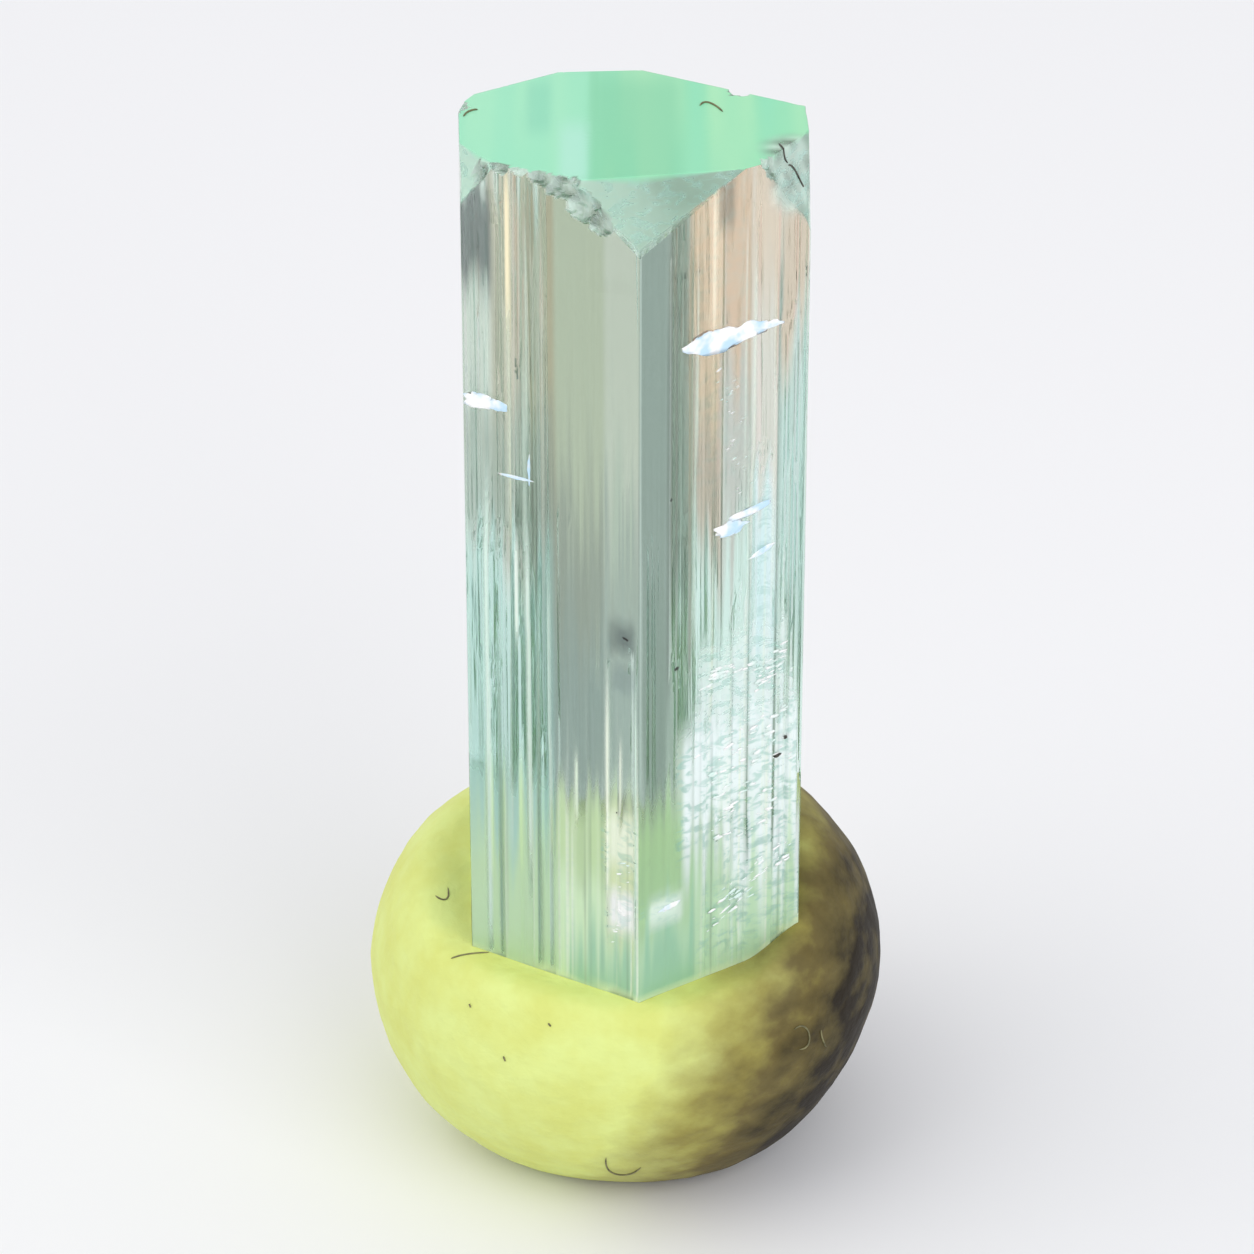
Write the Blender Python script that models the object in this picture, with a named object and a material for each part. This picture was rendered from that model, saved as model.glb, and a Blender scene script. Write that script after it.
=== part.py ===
"""Aquamarine crystal standing upright in a ball of yellow-green mineral putty.

Metres, +Z up. The origin is on the table under the middle of the putty ball. One upright edge of the
six-sided crystal, its front edge, points along -Y.
"""

import math
import random

import bmesh
import bpy
from mathutils import Euler, Matrix, Vector, noise

MM = 0.001

# The crystal's plan: a hexagon with 120 degree corners and faces of unequal width.
CRYSTAL_WIDTH = 11.0 * MM  # across the two side faces
LEFT_FACE = 4.3 * MM  # width of the left side face
RIGHT_FACE = 3.3 * MM  # width of the right side face
FRONT_EDGE = Vector((0.4 * MM, -7.5 * MM, 0.0))
CRYSTAL_TURN = math.radians(2.15)  # how far the crystal is turned about its own axis

# The crystal's length: its front stands about 2 mm deep in the putty and its back about 4 mm.
CRYSTAL_TOP = 38.9 * MM
CRYSTAL_FOOT = 7.4 * MM
ROWS = 15  # rings of points along the crystal
LEDGE_RAMP = 0.07 * MM  # width of the little riser at each side of a growth ledge
LEDGE_END = 2.4 * MM  # length over which a growth ledge dies out
LEAST_COLUMN = 0.05 * MM  # columns of points closer than this become one

# The corners of the plan, counter-clockwise seen from above, starting at the front edge.
CORNERS = ("front", "right_front", "right_back", "back", "left_back", "left_front")

# Corner faces at the crystal's top: how far each one reaches along the top edge to the corner
# before, along the top edge to the corner after, and down the upright edge.
CORNER_FACES = {
    "front": (2.6 * MM, 3.9 * MM, 2.1 * MM),
    "right_front": (1.9 * MM, 1.5 * MM, 2.8 * MM),
    "back": (1.5 * MM, 1.6 * MM, 1.3 * MM),
    "left_back": (0.6 * MM, 0.6 * MM, 0.7 * MM),
    "left_front": (1.0 * MM, 1.3 * MM, 1.7 * MM),
}

# The large growth ledges, as (from, to, depth, bottom, top). From and to run along the face from
# the corner that names it to the next corner; depth is measured into the crystal.
GREAT_LEDGES = {
    "front": (
        (1.15 * MM, 1.95 * MM, 0.06 * MM, 21 * MM, 37 * MM),
        (2.60 * MM, 3.10 * MM, 0.05 * MM, 9 * MM, 21 * MM),
        (3.55 * MM, 4.15 * MM, 0.07 * MM, 10 * MM, 24 * MM),
        (4.20 * MM, 5.05 * MM, 0.12 * MM, 14 * MM, 29 * MM),
        (5.25 * MM, 5.85 * MM, 0.09 * MM, 8 * MM, 34 * MM),
    ),
    "right_front": (
        (0.55 * MM, 1.35 * MM, 0.09 * MM, 6 * MM, 30 * MM),
        (2.00 * MM, 2.60 * MM, 0.06 * MM, 12 * MM, 35 * MM),
    ),
    "right_back": (
        (0.80 * MM, 1.90 * MM, 0.08 * MM, 8 * MM, 27 * MM),
        (3.10 * MM, 3.90 * MM, 0.10 * MM, 15 * MM, 36 * MM),
    ),
    "back": (
        (0.90 * MM, 2.10 * MM, 0.10 * MM, 6 * MM, 24 * MM),
        (3.30 * MM, 4.00 * MM, 0.07 * MM, 14 * MM, 35 * MM),
    ),
    "left_back": (
        (0.60 * MM, 1.50 * MM, 0.08 * MM, 10 * MM, 33 * MM),
        (2.60 * MM, 3.50 * MM, 0.07 * MM, 6 * MM, 22 * MM),
    ),
    "left_front": (
        (0.30 * MM, 1.45 * MM, 0.10 * MM, 25 * MM, 38 * MM),
        (0.80 * MM, 1.30 * MM, 0.07 * MM, 7 * MM, 21 * MM),
        (1.90 * MM, 2.35 * MM, 0.06 * MM, 9 * MM, 23 * MM),
        (2.75 * MM, 3.20 * MM, 0.06 * MM, 8 * MM, 19 * MM),
        (5.20 * MM, 6.10 * MM, 0.11 * MM, 7 * MM, 23 * MM),
    ),
}

# Further small ledges on every face, laid out by a seeded draw between these limits.
FINE_LEDGES = 4
LEDGE_SEED = 31
FINE_START = (0.08, 0.86)  # share of the face's width
FINE_WIDTH = (0.15 * MM, 0.45 * MM)
FINE_DEPTH = (0.02 * MM, 0.05 * MM)
FINE_BOTTOM = (7 * MM, 22 * MM)
FINE_LENGTH = (7 * MM, 15 * MM)

# Conchoidal chips out of the top edges: the corner they are measured from, the distance from it
# towards the next corner, how far below the top, and the radius of the bite.
CHIPS = (
    ("left_front", 0.45 * MM, 0.55 * MM, 0.62 * MM),
    ("left_front", 1.40 * MM, 0.05 * MM, 0.42 * MM),
    ("left_front", 2.15 * MM, 0.00 * MM, 0.40 * MM),
    ("left_front", 2.90 * MM, 0.10 * MM, 0.52 * MM),
    ("left_front", 3.65 * MM, 0.45 * MM, 0.66 * MM),
    ("left_front", 4.35 * MM, 0.95 * MM, 0.62 * MM),
    ("left_front", 5.00 * MM, 1.35 * MM, 0.46 * MM),
    ("front", 5.05 * MM, 0.25 * MM, 0.62 * MM),
    ("right_front", 0.25 * MM, 0.80 * MM, 0.75 * MM),
    ("right_back", 2.30 * MM, 0.05 * MM, 0.50 * MM),
    ("left_back", 0.55 * MM, 0.10 * MM, 0.55 * MM),
)
CHIP_OUT = 0.45  # share of its radius by which a chip's cutter stands out from the face
CHIP_UP = 0.35  # and by which it is raised
CHIP_ROUGHNESS = 0.16  # share of the radius by which it is uneven
CHIP_LUMPS = 1.7  # how many lumps there are to one radius
CHIP_VARIETY = Vector((3.7, 0.0, 0.0))  # step through the noise from one cutter to the next

# Broken foot of the crystal: two cleaved planes, each rising from the foot at an angle.
FOOT_BREAKS = ((35.0, 11.0), (205.0, 16.0))  # heading and slope in degrees
FOOT_BREAK_OFFSET = 2.2 * MM  # how far from the crystal's middle each one begins

# The putty ball, a flattened ball that is pressed flat where it stands.
BALL_RADIUS = 8.85 * MM
BALL_HALF_HEIGHT = 7.75 * MM
BALL_MIDDLE = 6.2 * MM  # height of the ball's widest ring over the table
BALL_SEGMENTS = 60
BALL_RINGS = 30
LUMP_SIZE = 4.5 * MM  # width of the soft lumps that fingers leave
LUMP_HEIGHT = 0.06 * MM
LUMP_SHIFT = Vector((5.2, 1.3, 8.1))  # which stretch of the noise shapes them
PRESSED_BAND = 0.2 * MM  # putty as close to the table as this is flat on it

# Broad hollows where fingers pressed the ball: heading and rise in degrees, depth, and width in
# degrees.
PRESSES = (
    (138.0, 42.0, 0.36 * MM, 24.0),
    (88.0, 55.0, 0.90 * MM, 26.0),
    (-18.0, -22.0, 0.20 * MM, 28.0),
    (-98.0, -50.0, 0.28 * MM, 24.0),
)

# Where the putty meets the crystal: its height at the front edge and at the back edge, how much
# higher it stands at both sides of the front, and how much more at the right side.
CONTACT_FRONT = 9.4 * MM
CONTACT_BACK = 11.3 * MM
SIDE_RISE = 0.25 * MM
RIGHT_RISE = 1.0 * MM
RIGHT_RISE_FROM = 3.9 * MM  # distances from the middle between which it rises
RIGHT_RISE_TO = 6.3 * MM
DIMPLE_REACH = 2.8 * MM  # how far out from the crystal the putty was drawn down with it
DIMPLE_SOFTNESS = 0.9 * MM
FIT_GAP = 0.3 * MM  # clearance between the crystal and its pocket


def plan_corners(grown=0.0):
    """The crystal's six corners at z = 0, counter-clockwise from the front edge.

    The faces lie at 30 degrees to the width, so each front corner is back by half the width times
    tan 30; grown moves every face outwards by that much.
    """
    half = CRYSTAL_WIDTH / 2 + grown
    slope = math.tan(math.radians(30))
    start = -2 * grown / math.sqrt(3)
    shoulder = start + half * slope
    left = shoulder + LEFT_FACE + 2 * grown / math.sqrt(3)
    right = shoulder + RIGHT_FACE + 2 * grown / math.sqrt(3)
    back_x = (right - left) / (2 * slope)
    flat = [
        (0.0, start),
        (half, shoulder),
        (half, right),
        (back_x, left + (back_x + half) * slope),
        (-half, left),
        (-half, shoulder),
    ]
    turn = Matrix.Rotation(CRYSTAL_TURN, 3, "Z")
    return [FRONT_EDGE + turn @ Vector((x, y, 0.0)) for x, y in flat]


def crystal_axis():
    """The middle of the crystal's plan."""
    return sum(plan_corners(), Vector()) / len(CORNERS)


def face_ledges(name, width):
    """The growth ledges of the face that starts at this corner: the large ones and a few fine ones."""
    draw = random.Random(LEDGE_SEED + CORNERS.index(name))
    ledges = list(GREAT_LEDGES[name])
    for _ in range(FINE_LEDGES):
        start = draw.uniform(*FINE_START) * width
        end = min(start + draw.uniform(*FINE_WIDTH), width - LEDGE_RAMP)
        bottom = draw.uniform(*FINE_BOTTOM)
        top = bottom + draw.uniform(*FINE_LENGTH)
        ledges.append((start, end, draw.uniform(*FINE_DEPTH), bottom, top))
    return ledges


def ease(share):
    """0 below 0, 1 above 1, and a smooth rise in between."""
    share = min(max(share, 0.0), 1.0)
    return share * share * (3 - 2 * share)


def ledge_depth(ledges, along, height):
    """How far the face lies inside the plain hexagon at this point."""
    depth = 0.0
    for start, end, deep, bottom, top in ledges:
        across = ease((along - start) / LEDGE_RAMP) * ease((end - along) / LEDGE_RAMP)
        upright = ease((height - bottom) / LEDGE_END) * ease((top - height) / LEDGE_END)
        depth += deep * across * upright
    return depth


def face_columns(ledges, width):
    """Where the face's columns of points stand: at its corner and at both sides of every riser."""
    marks = {0.0}
    for start, end, *_ in ledges:
        marks.update((start, start + LEDGE_RAMP, end - LEDGE_RAMP, end))
    columns = []
    for mark in sorted(marks):
        if (not columns or mark - columns[-1] > LEAST_COLUMN) and mark < width - LEAST_COLUMN:
            columns.append(mark)
    return columns


def upright_columns():
    """Each column of the crystal's sides, as a function of height that gives its point."""
    corners = plan_corners()
    columns = []
    for index, name in enumerate(CORNERS):
        start, end = corners[index], corners[(index + 1) % len(CORNERS)]
        width = (end - start).length
        along = (end - start).normalized()
        inward = Vector((-along.y, along.x, 0.0))
        ledges = face_ledges(name, width)
        for mark in face_columns(ledges, width):
            columns.append((start + along * mark, inward, ledges, mark))
    return columns


def column_number(co, count):
    """Which of a cylinder's columns a point is on, counted counter-clockwise from its +Y one."""
    return round(math.atan2(-co.x, co.y) / math.tau * count) % count


def cut_off(bm, point, normal):
    """Cuts away what lies on the normal's side of a plane and closes the cut with one flat face."""
    everything = bm.verts[:] + bm.edges[:] + bm.faces[:]
    cut = bmesh.ops.bisect_plane(
        bm, geom=everything, dist=1e-8, plane_co=point, plane_no=normal, clear_outer=True
    )
    rim = [e for e in cut["geom_cut"] if isinstance(e, bmesh.types.BMEdge) and e.is_valid]
    bmesh.ops.holes_fill(bm, edges=rim, sides=0)


def plane_through(a, b, c, outward):
    """A point and the unit normal of the plane through three points, on the outward side."""
    normal = (b - a).cross(c - a).normalized()
    return a, normal if normal.dot(outward) > 0 else -normal


def cut_corner_faces(bm):
    """The inclined faces that take off the crystal's upper corners."""
    corners = [c + Vector((0, 0, CRYSTAL_TOP)) for c in plan_corners()]
    for name, (to_last, to_next, down) in CORNER_FACES.items():
        index = CORNERS.index(name)
        tip = corners[index]
        last, following = corners[index - 1], corners[(index + 1) % len(CORNERS)]
        on_last = tip + (last - tip).normalized() * to_last
        on_next = tip + (following - tip).normalized() * to_next
        on_edge = tip - Vector((0, 0, down))
        cut_off(bm, *plane_through(on_last, on_next, on_edge, tip - crystal_axis()))


def cut_foot(bm):
    """The two cleaved planes of the broken foot, which the putty hides."""
    for heading, slope in FOOT_BREAKS:
        turn = math.radians(heading)
        out = Vector((math.cos(turn), math.sin(turn), 0.0))
        tilt = math.radians(slope)
        point = crystal_axis() + out * FOOT_BREAK_OFFSET + Vector((0, 0, CRYSTAL_FOOT))
        cut_off(bm, point, out * math.sin(tilt) - Vector((0, 0, math.cos(tilt))))


def add_object(name, bm, collection, material=None):
    """Makes an object of the bmesh in the collection."""
    mesh = bpy.data.meshes.new(name)
    bmesh.ops.recalc_face_normals(bm, faces=bm.faces)
    bm.to_mesh(mesh)
    bm.free()
    if material:
        mesh.materials.append(material)
    obj = bpy.data.objects.new(name, mesh)
    collection.objects.link(obj)
    return obj


def make_crystal(collection, material):
    """A cylinder whose columns are set on the hexagon and its ledges, then cut at its corners."""
    columns = upright_columns()
    bm = bmesh.new()
    bmesh.ops.create_cone(
        bm, cap_ends=True, segments=len(columns), radius1=1.0, radius2=1.0, depth=1.0
    )
    upright = [e for e in bm.edges if abs(e.verts[0].co.z - e.verts[1].co.z) > 0.5]
    bmesh.ops.subdivide_edges(bm, edges=upright, cuts=ROWS - 2)
    for vert in bm.verts:
        point, inward, ledges, mark = columns[column_number(vert.co, len(columns))]
        height = CRYSTAL_FOOT + (vert.co.z + 0.5) * (CRYSTAL_TOP - CRYSTAL_FOOT)
        vert.co = point + inward * ledge_depth(ledges, mark, height)
        vert.co.z = height
    cut_corner_faces(bm)
    cut_foot(bm)
    return add_object("crystal", bm, collection, material)


def make_chip_cutters(collection):
    """Uneven balls that bite the chips out of the crystal's top edges."""
    corners = plan_corners()
    cutters = []
    for number, (name, along, below, radius) in enumerate(CHIPS):
        index = CORNERS.index(name)
        edge = (corners[(index + 1) % len(CORNERS)] - corners[index]).normalized()
        outward = Vector((edge.y, -edge.x, 0.0))
        middle = corners[index] + edge * along + outward * (CHIP_OUT * radius)
        bm = bmesh.new()
        bmesh.ops.create_icosphere(bm, subdivisions=2, radius=radius)
        for vert in bm.verts:
            uneven = noise.noise(vert.co / radius * CHIP_LUMPS + CHIP_VARIETY * number)
            vert.co *= 1 + CHIP_ROUGHNESS * uneven
        cutter = add_object(f"chip_cutter_{number + 1}", bm, collection)
        cutter.location = middle + Vector((0, 0, CRYSTAL_TOP - below + CHIP_UP * radius))
        cutters.append(cutter)
    return cutters


def hide_helper(obj):
    """Keeps a cutter out of the part."""
    obj.hide_render = True
    obj.display_type = "WIRE"


def subtract(obj, cutter):
    """Takes the cutter's shape away from the object."""
    boolean = obj.modifiers.new(cutter.name, "BOOLEAN")
    boolean.operation = "DIFFERENCE"
    boolean.object = cutter
    hide_helper(cutter)


def outside_crystal(point):
    """How far a point lies outside the crystal's plan, or 0 if it is within it."""
    corners = plan_corners()
    furthest = 0.0
    for index, corner in enumerate(corners):
        edge = (corners[(index + 1) % len(corners)] - corner).normalized()
        furthest = max(furthest, (point - corner).dot(Vector((edge.y, -edge.x, 0.0))))
    return furthest


def contact_height(point):
    """Height at which the putty meets the crystal: nearly level along the two front faces, then
    rising to the back."""
    corners = plan_corners()
    shoulder = corners[CORNERS.index("left_front")]
    back = corners[CORNERS.index("back")]
    backward = ease((point.y - shoulder.y) / (back.y - shoulder.y))
    aside = min(abs(point.x - FRONT_EDGE.x) / (CRYSTAL_WIDTH / 2), 1.0)
    rightward = ease((point.x - RIGHT_RISE_FROM) / (RIGHT_RISE_TO - RIGHT_RISE_FROM))
    height = CONTACT_FRONT + (CONTACT_BACK - CONTACT_FRONT) * backward
    return height + SIDE_RISE * aside**2 + RIGHT_RISE * rightward


def pressed_in(unit):
    """How far fingers pressed the ball in along this direction."""
    depth = 0.0
    for heading, rise, deepest, width in PRESSES:
        turn = Euler((0.0, -math.radians(rise), math.radians(heading)))
        middle = turn.to_matrix() @ Vector((1.0, 0.0, 0.0))
        depth += deepest * math.exp(-((unit.angle(middle) / math.radians(width)) ** 2))
    return depth


def putty_point(unit):
    """A point of the ball's skin from its direction: a flattened ball with soft lumps and finger
    hollows, drawn down smoothly to the contact height round the crystal and flat on the table."""
    lump = noise.noise(unit * (2 * BALL_RADIUS / LUMP_SIZE) + LUMP_SHIFT)
    size = 1 + (lump * LUMP_HEIGHT - pressed_in(unit)) / BALL_RADIUS
    point = Vector((unit.x * BALL_RADIUS, unit.y * BALL_RADIUS, unit.z * BALL_HALF_HEIGHT)) * size
    point.z += BALL_MIDDLE
    near = math.exp(-((outside_crystal(point) / DIMPLE_REACH) ** 2))
    if unit.z > 0:
        over = point.z - contact_height(point)
        point.z -= near * (over + math.hypot(over, DIMPLE_SOFTNESS)) / 2
    if point.z < PRESSED_BAND:
        point.z = 0.0
    return point


def make_putty(collection, cutters, material):
    """The putty ball, cut flat where it stands, with a pocket that the crystal's foot fills."""
    bm = bmesh.new()
    bmesh.ops.create_uvsphere(bm, u_segments=BALL_SEGMENTS, v_segments=BALL_RINGS, radius=1.0)
    for vert in bm.verts:
        vert.co = putty_point(vert.co.normalized())
    underside = [f for f in bm.faces if all(v.co.z == 0 for v in f.verts)]
    bmesh.ops.dissolve_faces(bm, faces=underside, use_verts=True)
    putty = add_object("putty_base", bm, collection, material)
    putty.data.shade_smooth()
    putty.data.set_sharp_from_angle(angle=math.radians(35))

    bm = bmesh.new()
    bmesh.ops.create_cone(bm, cap_ends=True, segments=6, radius1=1.0, radius2=1.0, depth=1.0)
    corners = plan_corners(FIT_GAP)
    for vert in bm.verts:
        low = vert.co.z < 0
        vert.co = corners[column_number(vert.co, len(corners))]
        vert.co.z = CRYSTAL_FOOT - FIT_GAP if low else CRYSTAL_TOP
    subtract(putty, add_object("pocket_cutter", bm, cutters))
    return putty


def make_material(name, colour, roughness, transmission=0.0, ior=1.5):
    """A Principled BSDF with these values."""
    material = bpy.data.materials.new(name)
    material.use_nodes = True
    material.diffuse_color = (*colour, 1.0)
    shader = material.node_tree.nodes["Principled BSDF"]
    shader.inputs["Base Color"].default_value = (*colour, 1.0)
    shader.inputs["Roughness"].default_value = roughness
    shader.inputs["Metallic"].default_value = 0.0
    shader.inputs["Transmission Weight"].default_value = transmission
    shader.inputs["IOR"].default_value = ior
    return material


def new_collection(name):
    collection = bpy.data.collections.new(name)
    bpy.context.scene.collection.children.link(collection)
    return collection


def main():
    for obj in list(bpy.data.objects):
        bpy.data.objects.remove(obj)
    specimen = new_collection("aquamarine_crystal")
    cutters = new_collection("cutters")
    beryl = make_material("aquamarine beryl", (0.52, 0.80, 0.68), 0.05, 1.0, 1.577)
    tack = make_material("mineral putty", (0.70, 0.76, 0.24), 0.7)
    crystal = make_crystal(specimen, beryl)
    for cutter in make_chip_cutters(cutters):
        subtract(crystal, cutter)
    make_putty(specimen, cutters, tack)


main()
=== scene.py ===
"""The looks of an aquamarine crystal that stands in a ball of yellow-green mineral putty.

Metres, +Z up, and the front edge of the crystal points along -Y. The tables of places on the crystal
are in millimetres, and rows() or the function that reads one turns it into metres. The crystal and
the putty are worked out as surfaces of two parameters, the first going round the piece
counter-clockwise and the second from its bottom middle, up its side and over to its top middle.
"""

import math

import bpy
import numpy as np
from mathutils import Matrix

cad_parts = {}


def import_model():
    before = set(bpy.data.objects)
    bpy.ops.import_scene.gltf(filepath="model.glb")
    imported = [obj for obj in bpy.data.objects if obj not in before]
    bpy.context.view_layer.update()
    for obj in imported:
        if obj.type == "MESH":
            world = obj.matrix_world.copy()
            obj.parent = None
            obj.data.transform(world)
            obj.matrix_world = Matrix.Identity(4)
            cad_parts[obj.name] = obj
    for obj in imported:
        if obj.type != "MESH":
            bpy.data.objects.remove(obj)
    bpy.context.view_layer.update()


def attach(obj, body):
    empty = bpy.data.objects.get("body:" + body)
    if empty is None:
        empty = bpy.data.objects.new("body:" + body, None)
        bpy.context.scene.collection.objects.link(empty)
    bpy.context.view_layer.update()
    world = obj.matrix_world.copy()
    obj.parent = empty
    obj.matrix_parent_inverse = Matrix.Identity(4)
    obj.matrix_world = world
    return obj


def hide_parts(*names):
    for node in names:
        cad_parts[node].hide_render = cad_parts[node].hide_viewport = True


MM = 0.001

# ---- driving dimensions, as in the solids

CRYSTAL_WIDTH = 11.0 * MM
LEFT_FACE = 4.3 * MM
RIGHT_FACE = 3.3 * MM
FRONT_EDGE = np.array([0.4 * MM, -7.5 * MM])
CRYSTAL_TURN = math.radians(2.15)
FACE_SLOPE = math.tan(math.radians(30))  # of the front and back faces to the crystal's width
CRYSTAL_TOP = 38.9 * MM
CRYSTAL_FOOT = 7.4 * MM

# The corners of the plan. A face has the name of the corner where it begins, and a distance along it
# is measured from there.
CORNERS = ("front", "right_front", "right_back", "back", "left_back", "left_front")

# How far each corner face reaches along the top edge to the corner before, along the top edge to
# the corner after, and down the upright edge.
CORNER_FACES = {
    "front": (2.6, 3.9, 2.1),
    "right_front": (1.9, 1.5, 2.8),
    "back": (1.5, 1.6, 1.3),
    "left_back": (0.6, 0.6, 0.7),
    "left_front": (1.0, 1.3, 1.7),
}

# Growth ledges by face: from, to, depth, bottom, top.
GREAT_LEDGES = {
    "front": (
        (1.15, 1.95, 0.06, 21, 37), (2.6, 3.1, 0.05, 9, 21), (3.55, 4.15, 0.07, 10, 24),
        (4.2, 5.05, 0.12, 14, 29), (5.25, 5.85, 0.09, 8, 34),
    ),
    "right_front": ((0.55, 1.35, 0.09, 6, 30), (2.0, 2.6, 0.06, 12, 35)),
    "right_back": ((0.8, 1.9, 0.08, 8, 27), (3.1, 3.9, 0.1, 15, 36)),
    "back": ((0.9, 2.1, 0.1, 6, 24), (3.3, 4.0, 0.07, 14, 35)),
    "left_back": ((0.6, 1.5, 0.08, 10, 33), (2.6, 3.5, 0.07, 6, 22)),
    "left_front": (
        (0.3, 1.45, 0.1, 25, 38), (0.8, 1.3, 0.07, 7, 21), (1.9, 2.35, 0.06, 9, 23),
        (2.75, 3.2, 0.06, 8, 19), (5.2, 6.1, 0.11, 7, 23),
    ),
}

# Chips out of the top edges, by face: distance along it, depth below the top, radius.
CHIPS = {
    "left_front": (
        (0.45, 0.55, 0.62), (1.4, 0.05, 0.42), (2.15, 0.0, 0.4), (2.9, 0.1, 0.52), (3.65, 0.45, 0.66),
        (4.35, 0.95, 0.62), (5.0, 1.35, 0.46),
    ),
    "front": ((5.05, 0.25, 0.62),),
    "right_front": ((0.25, 0.8, 0.75),),
    "right_back": ((2.3, 0.05, 0.5),),
    "left_back": ((0.55, 0.1, 0.55),),
}
CHIP_OUT = 0.45  # how far a chip's ball stands out from the face, in radii
CHIP_UP = 0.35  # and how far it is raised
CHIP_ROUGHNESS = 0.16  # share of its radius by which the ball is uneven
CHIP_LUMPS = ((0.5, 1.0), (0.22, 0.9))  # their sizes in radii, and their shares of the roughness
CHIP_FALL = 0.9  # how steeply a chip runs down into the crystal
CHIP_SEED = 100

FOOT_BREAKS = ((35.0, 11.0), (205.0, 16.0))  # heading and slope in degrees
FOOT_BREAK_OFFSET = 2.2 * MM

BALL_RADIUS = 8.85 * MM
BALL_HALF_HEIGHT = 7.75 * MM
BALL_MIDDLE = 6.2 * MM
# Hollows where fingers pressed: heading and rise in degrees, depth, and width in degrees.
PRESSES = (
    (138.0, 42.0, 0.36 * MM, 24.0),
    (88.0, 55.0, 0.90 * MM, 26.0),
    (-18.0, -22.0, 0.20 * MM, 28.0),
    (-98.0, -50.0, 0.28 * MM, 24.0),
)
# Heights at which the putty meets the crystal, and how it is drawn down to there.
CONTACT_FRONT = 9.4 * MM
CONTACT_BACK = 11.3 * MM
SIDE_RISE = 0.25 * MM
RIGHT_RISE = 1.0 * MM
RIGHT_RISE_FROM = 3.9 * MM
RIGHT_RISE_TO = 6.3 * MM
DIMPLE_REACH = 2.8 * MM
DIMPLE_SOFTNESS = 0.9 * MM

# ---- numbers and meshes

NOISE_VALUES = 4096  # how many random values the noise draws from
NOISE_MIX = (73856093, 19349663, 83492791)  # large primes that spread the cells over them


def rows(table, lengths):
    """The rows of a table, each with its face's number first, then this many lengths turned from
    millimetres into metres, then the rest. A table is a tuple of rows, or has them by face."""
    if isinstance(table, dict):
        table = [(name, *row) for name, lines in table.items() for row in lines]
    last = lengths + 1
    scaled = [[part * MM for part in row[1:last]] for row in table]
    return [(CORNERS.index(row[0]), *part, *row[last:]) for row, part in zip(table, scaled)]


def ease(share):
    """0 below 0, 1 above 1, and 3s^2 - 2s^3 in between."""
    share = np.clip(share, 0.0, 1.0)
    return share * share * (3 - 2 * share)


def soft_step(distance, edge):
    """0 well outside a border, 1 well inside it, and eased between over the width of its edge."""
    return ease(distance / edge + 0.5)


def normalised(vectors):
    """The vectors, brought to length 1."""
    return vectors / np.linalg.norm(vectors, axis=-1, keepdims=True)


def soft_noise(points, size, seed):
    """Noise from -1 to 1: a random value at each point of a cubic lattice with cells of this size,
    blended across each cell with the ease curve."""
    table = np.random.default_rng(seed).uniform(-1, 1, NOISE_VALUES)
    cell = np.asarray(points) / size
    low = np.floor(cell).astype(np.int64)
    share = ease(cell - low)
    total = np.zeros(cell.shape[:-1])
    for corner in np.ndindex(2, 2, 2):
        spot = np.bitwise_xor.reduce((low + corner) * NOISE_MIX, axis=-1) % NOISE_VALUES
        total += table[spot] * np.where(corner, share, 1 - share).prod(axis=-1)
    return total


def mesh_from(name, points, faces):
    """A mesh of these points and faces."""
    mesh = bpy.data.meshes.new(name)
    mesh.from_pydata(points, [], faces)
    mesh.validate()
    return mesh


def ring_mesh(name, rings, starts, ends):
    """Closed bodies made of closed rings of points, an array of (body, ring, column, xyz). Quads join
    a body's rings, and fans close its first ring to its start point and its last to its end point."""
    bodies, count, columns = rings.shape[:3]
    here = np.arange(count * columns).reshape(count, columns)
    after = np.roll(here, -1, axis=1)
    quads = np.stack([here[:-1], after[:-1], after[1:], here[1:]], axis=-1).reshape(-1, 4)
    first, last = here.size, here.size + 1
    sides = ((first, after[0], here[0]), (here[-1], after[-1], last))
    fans = np.concatenate([np.stack(np.broadcast_arrays(*side), axis=-1) for side in sides])
    faces = []
    for part in (quads, fans):
        for body in range(bodies):
            faces += (part + body * (last + 1)).tolist()
    ends = [np.reshape(point, (bodies, 1, 3)) for point in (starts, ends)]
    points = np.concatenate([rings.reshape(bodies, -1, 3), *ends], axis=1)
    return mesh_from(name, points.reshape(-1, 3), faces)


def add_piece(mesh, material, smooth=True):
    """An object at the origin for the mesh, with its material."""
    mesh.materials.append(material)
    mesh.polygons.foreach_set("use_smooth", np.full(len(mesh.polygons), smooth))
    return link(bpy.data.objects.new(mesh.name, mesh))


def link(obj):
    """Puts an object into the scene."""
    bpy.context.scene.collection.objects.link(obj)
    return obj


def mark(mesh, name, values):
    """Stores a number or a colour for each point of the mesh, for its material to read."""
    values = np.asarray(values, np.float32)
    kind, field = ("FLOAT", "value") if values.ndim == 1 else ("FLOAT_COLOR", "color")
    mesh.attributes.new(name, kind, "POINT").data.foreach_set(field, values.ravel())


def linear(code):
    """The linear colour of an sRGB hex code."""
    parts = [int(code[place : place + 2], 16) / 255 for place in (1, 3, 5)]
    return [p / 12.92 if p <= 0.04045 else ((p + 0.055) / 1.055) ** 2.4 for p in parts] + [1.0]


def filled(code, shape):
    """An array of this shape with one colour."""
    return np.tile(linear(code), tuple(shape) + (1,))


def mixed(colours, code, share):
    """The colours, each brought towards one colour by its share."""
    return colours + share[..., None] * (np.array(linear(code)) - colours)


# ---- the crystal's form

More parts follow.
